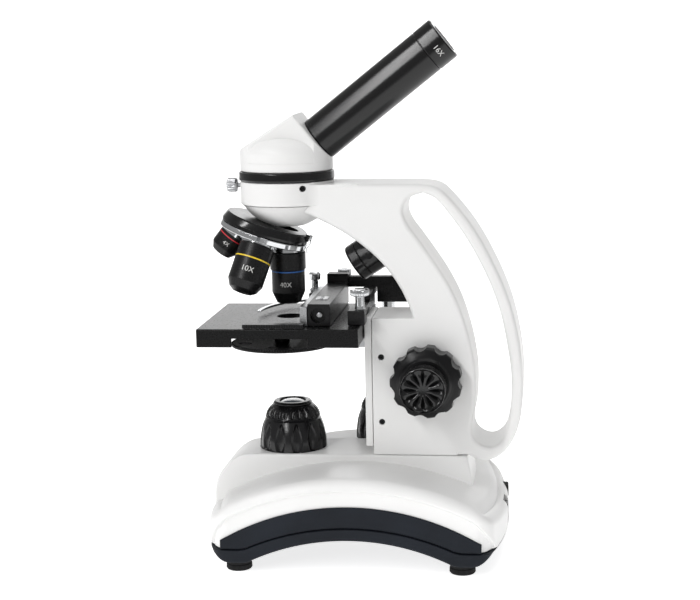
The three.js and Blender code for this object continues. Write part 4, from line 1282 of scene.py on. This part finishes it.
# ---- upper lamp
def spot_body():
    profile = [(0, -8), (7.5, -8), (10.4, -5), (10.8, -4.2), (10.8, 5.5), (10.6, 5.7), (0, 5.7)]
    return together(turned(profile, 96, 0.3), moved(rod(1.8, -16.5, 16.5, 32), NEAR))


def spot_bezel():
    profile = [(8.6, 6), (10.6, 6), (10.8, 6.3), (10.8, 10.8), (10.2, 11.8), (9.8, 12), (8.2, 12),
               (7.7, 11.4), (8.6, 10.8)]
    return turned(profile, 96, 0.15)


def spot_lens():
    crown = spline([(8.2, 10.3), (4.4, 10.55), (0, 10.6)])
    return turned([(0, 8.4), (8.3, 8.4), (8.3, 10.2)] + crown, 72)


def build_upper_lamp():
    piece("spot_body", spot_body(), "upper_lamp", GLOSS, "lamp_body", at=LAMP)
    piece("spot_bezel", spot_bezel(), "upper_lamp", GLOSS, "lamp_bezel", at=LAMP)
    piece("spot_lens", spot_lens(), "upper_lamp", GLASS, "lamp_lens", at=LAMP)


# ---- pieces that keep their own shape
def paint_nodes():
    """Gives the CAD pieces that stay as they are their finish."""
    looks = {
        "driver_board": GREEN, "head_prism": GLASS, "focus_pinion": STEEL, "fine_shaft": STEEL,
        "stage_carrier": STEEL, "focus_rack": BRASS,
    }
    for node, look in looks.items():
        data = frame["nodes"][node].data
        data.materials.clear()
        data.materials.append(look)


# ---- studio
def area_light(name, place, size, power, roll=0):
    """Rectangular light that faces the middle of the instrument, rolled about its own direction."""
    lamp = bpy.data.lights.new(name, "AREA")
    lamp.shape = "RECTANGLE"
    lamp.size, lamp.size_y = size
    lamp.energy = power
    facing = (Vector((0, 0, 0.13)) - Vector(place)).to_track_quat("-Z", "Y").to_matrix()
    facing = facing @ Matrix.Rotation(radians(roll), 3, "Z")
    obj = placed(name, lamp)
    obj.location = place
    obj.rotation_euler = facing.to_euler()


def backdrop():
    """White table that curves up into a wall behind, lit from within."""
    glow = {"Emission Color": (1, 1, 1, 1), "Emission Strength": 0.78}
    look = finish("backdrop", (0.9, 0.9, 0.9), 0.9, tint=(3, 3, (0.89, 0.89, 0.89), (0.9, 0.9, 0.9)),
                  more={**specular(0), **glow})
    depth, height, radius, half = 1.1, 0.9, 0.3, 0.9
    line = [(-0.6, 0.0)]
    for i in range(17):
        angle = pi / 2 * i / 16
        line.append((depth + radius * sin(angle), radius * (1 - cos(angle))))
    line.append((depth + radius, height))
    corners = [(x, y, z) for y, z in line for x in (-half, half)]
    faces = [(i, i + 1, i + 3, i + 2) for i in range(0, len(corners) - 2, 2)]
    data = stored(net(corners, faces), "backdrop")
    data.shade_smooth()
    data.materials.append(look)
    placed("backdrop", data)


def build_studio():
    backdrop()
    area_light("strip", (-0.6, -0.9, 0.9), (0.11, 1.2), 9, roll=45)
    area_light("top", (0.1, 0.1, 1.3), (1.0, 0.7), 4)
    world = bpy.data.worlds.new("studio")
    world.use_nodes = True
    set_inputs(world.node_tree.nodes["Background"], {"Color": (1, 1, 1, 1), "Strength": 0.38})
    bpy.context.scene.world = world
    bpy.context.scene.view_settings.view_transform = "Standard"


def build_camera():
    camera = bpy.data.cameras.new("camera")
    camera.sensor_width = 36
    camera.lens = 85.05
    yaw, pitch, roll = radians(7.35), radians(9.04), radians(-1.144)
    right = Vector((cos(yaw), sin(yaw), 0))
    back = Vector((sin(yaw) * cos(pitch), -cos(yaw) * cos(pitch), sin(pitch)))
    up = back.cross(right)
    turned_right = right * cos(roll) + up * sin(roll)
    turned_up = up * cos(roll) - right * sin(roll)
    turn = Matrix((turned_right, turned_up, back)).transposed()
    obj = placed("camera", camera)
    obj.matrix_world = Matrix.Translation((0.1098, -0.92, 0.2902)) @ turn.to_4x4()
    bpy.context.scene.camera = obj


build_camera()
build_base()
build_deck_lamp()
build_arm()
build_nosepiece()
build_head()
build_focus()
build_stage()
build_mechanical_stage()
build_upper_lamp()
paint_nodes()
build_studio()

bpy.context.view_layer.update()
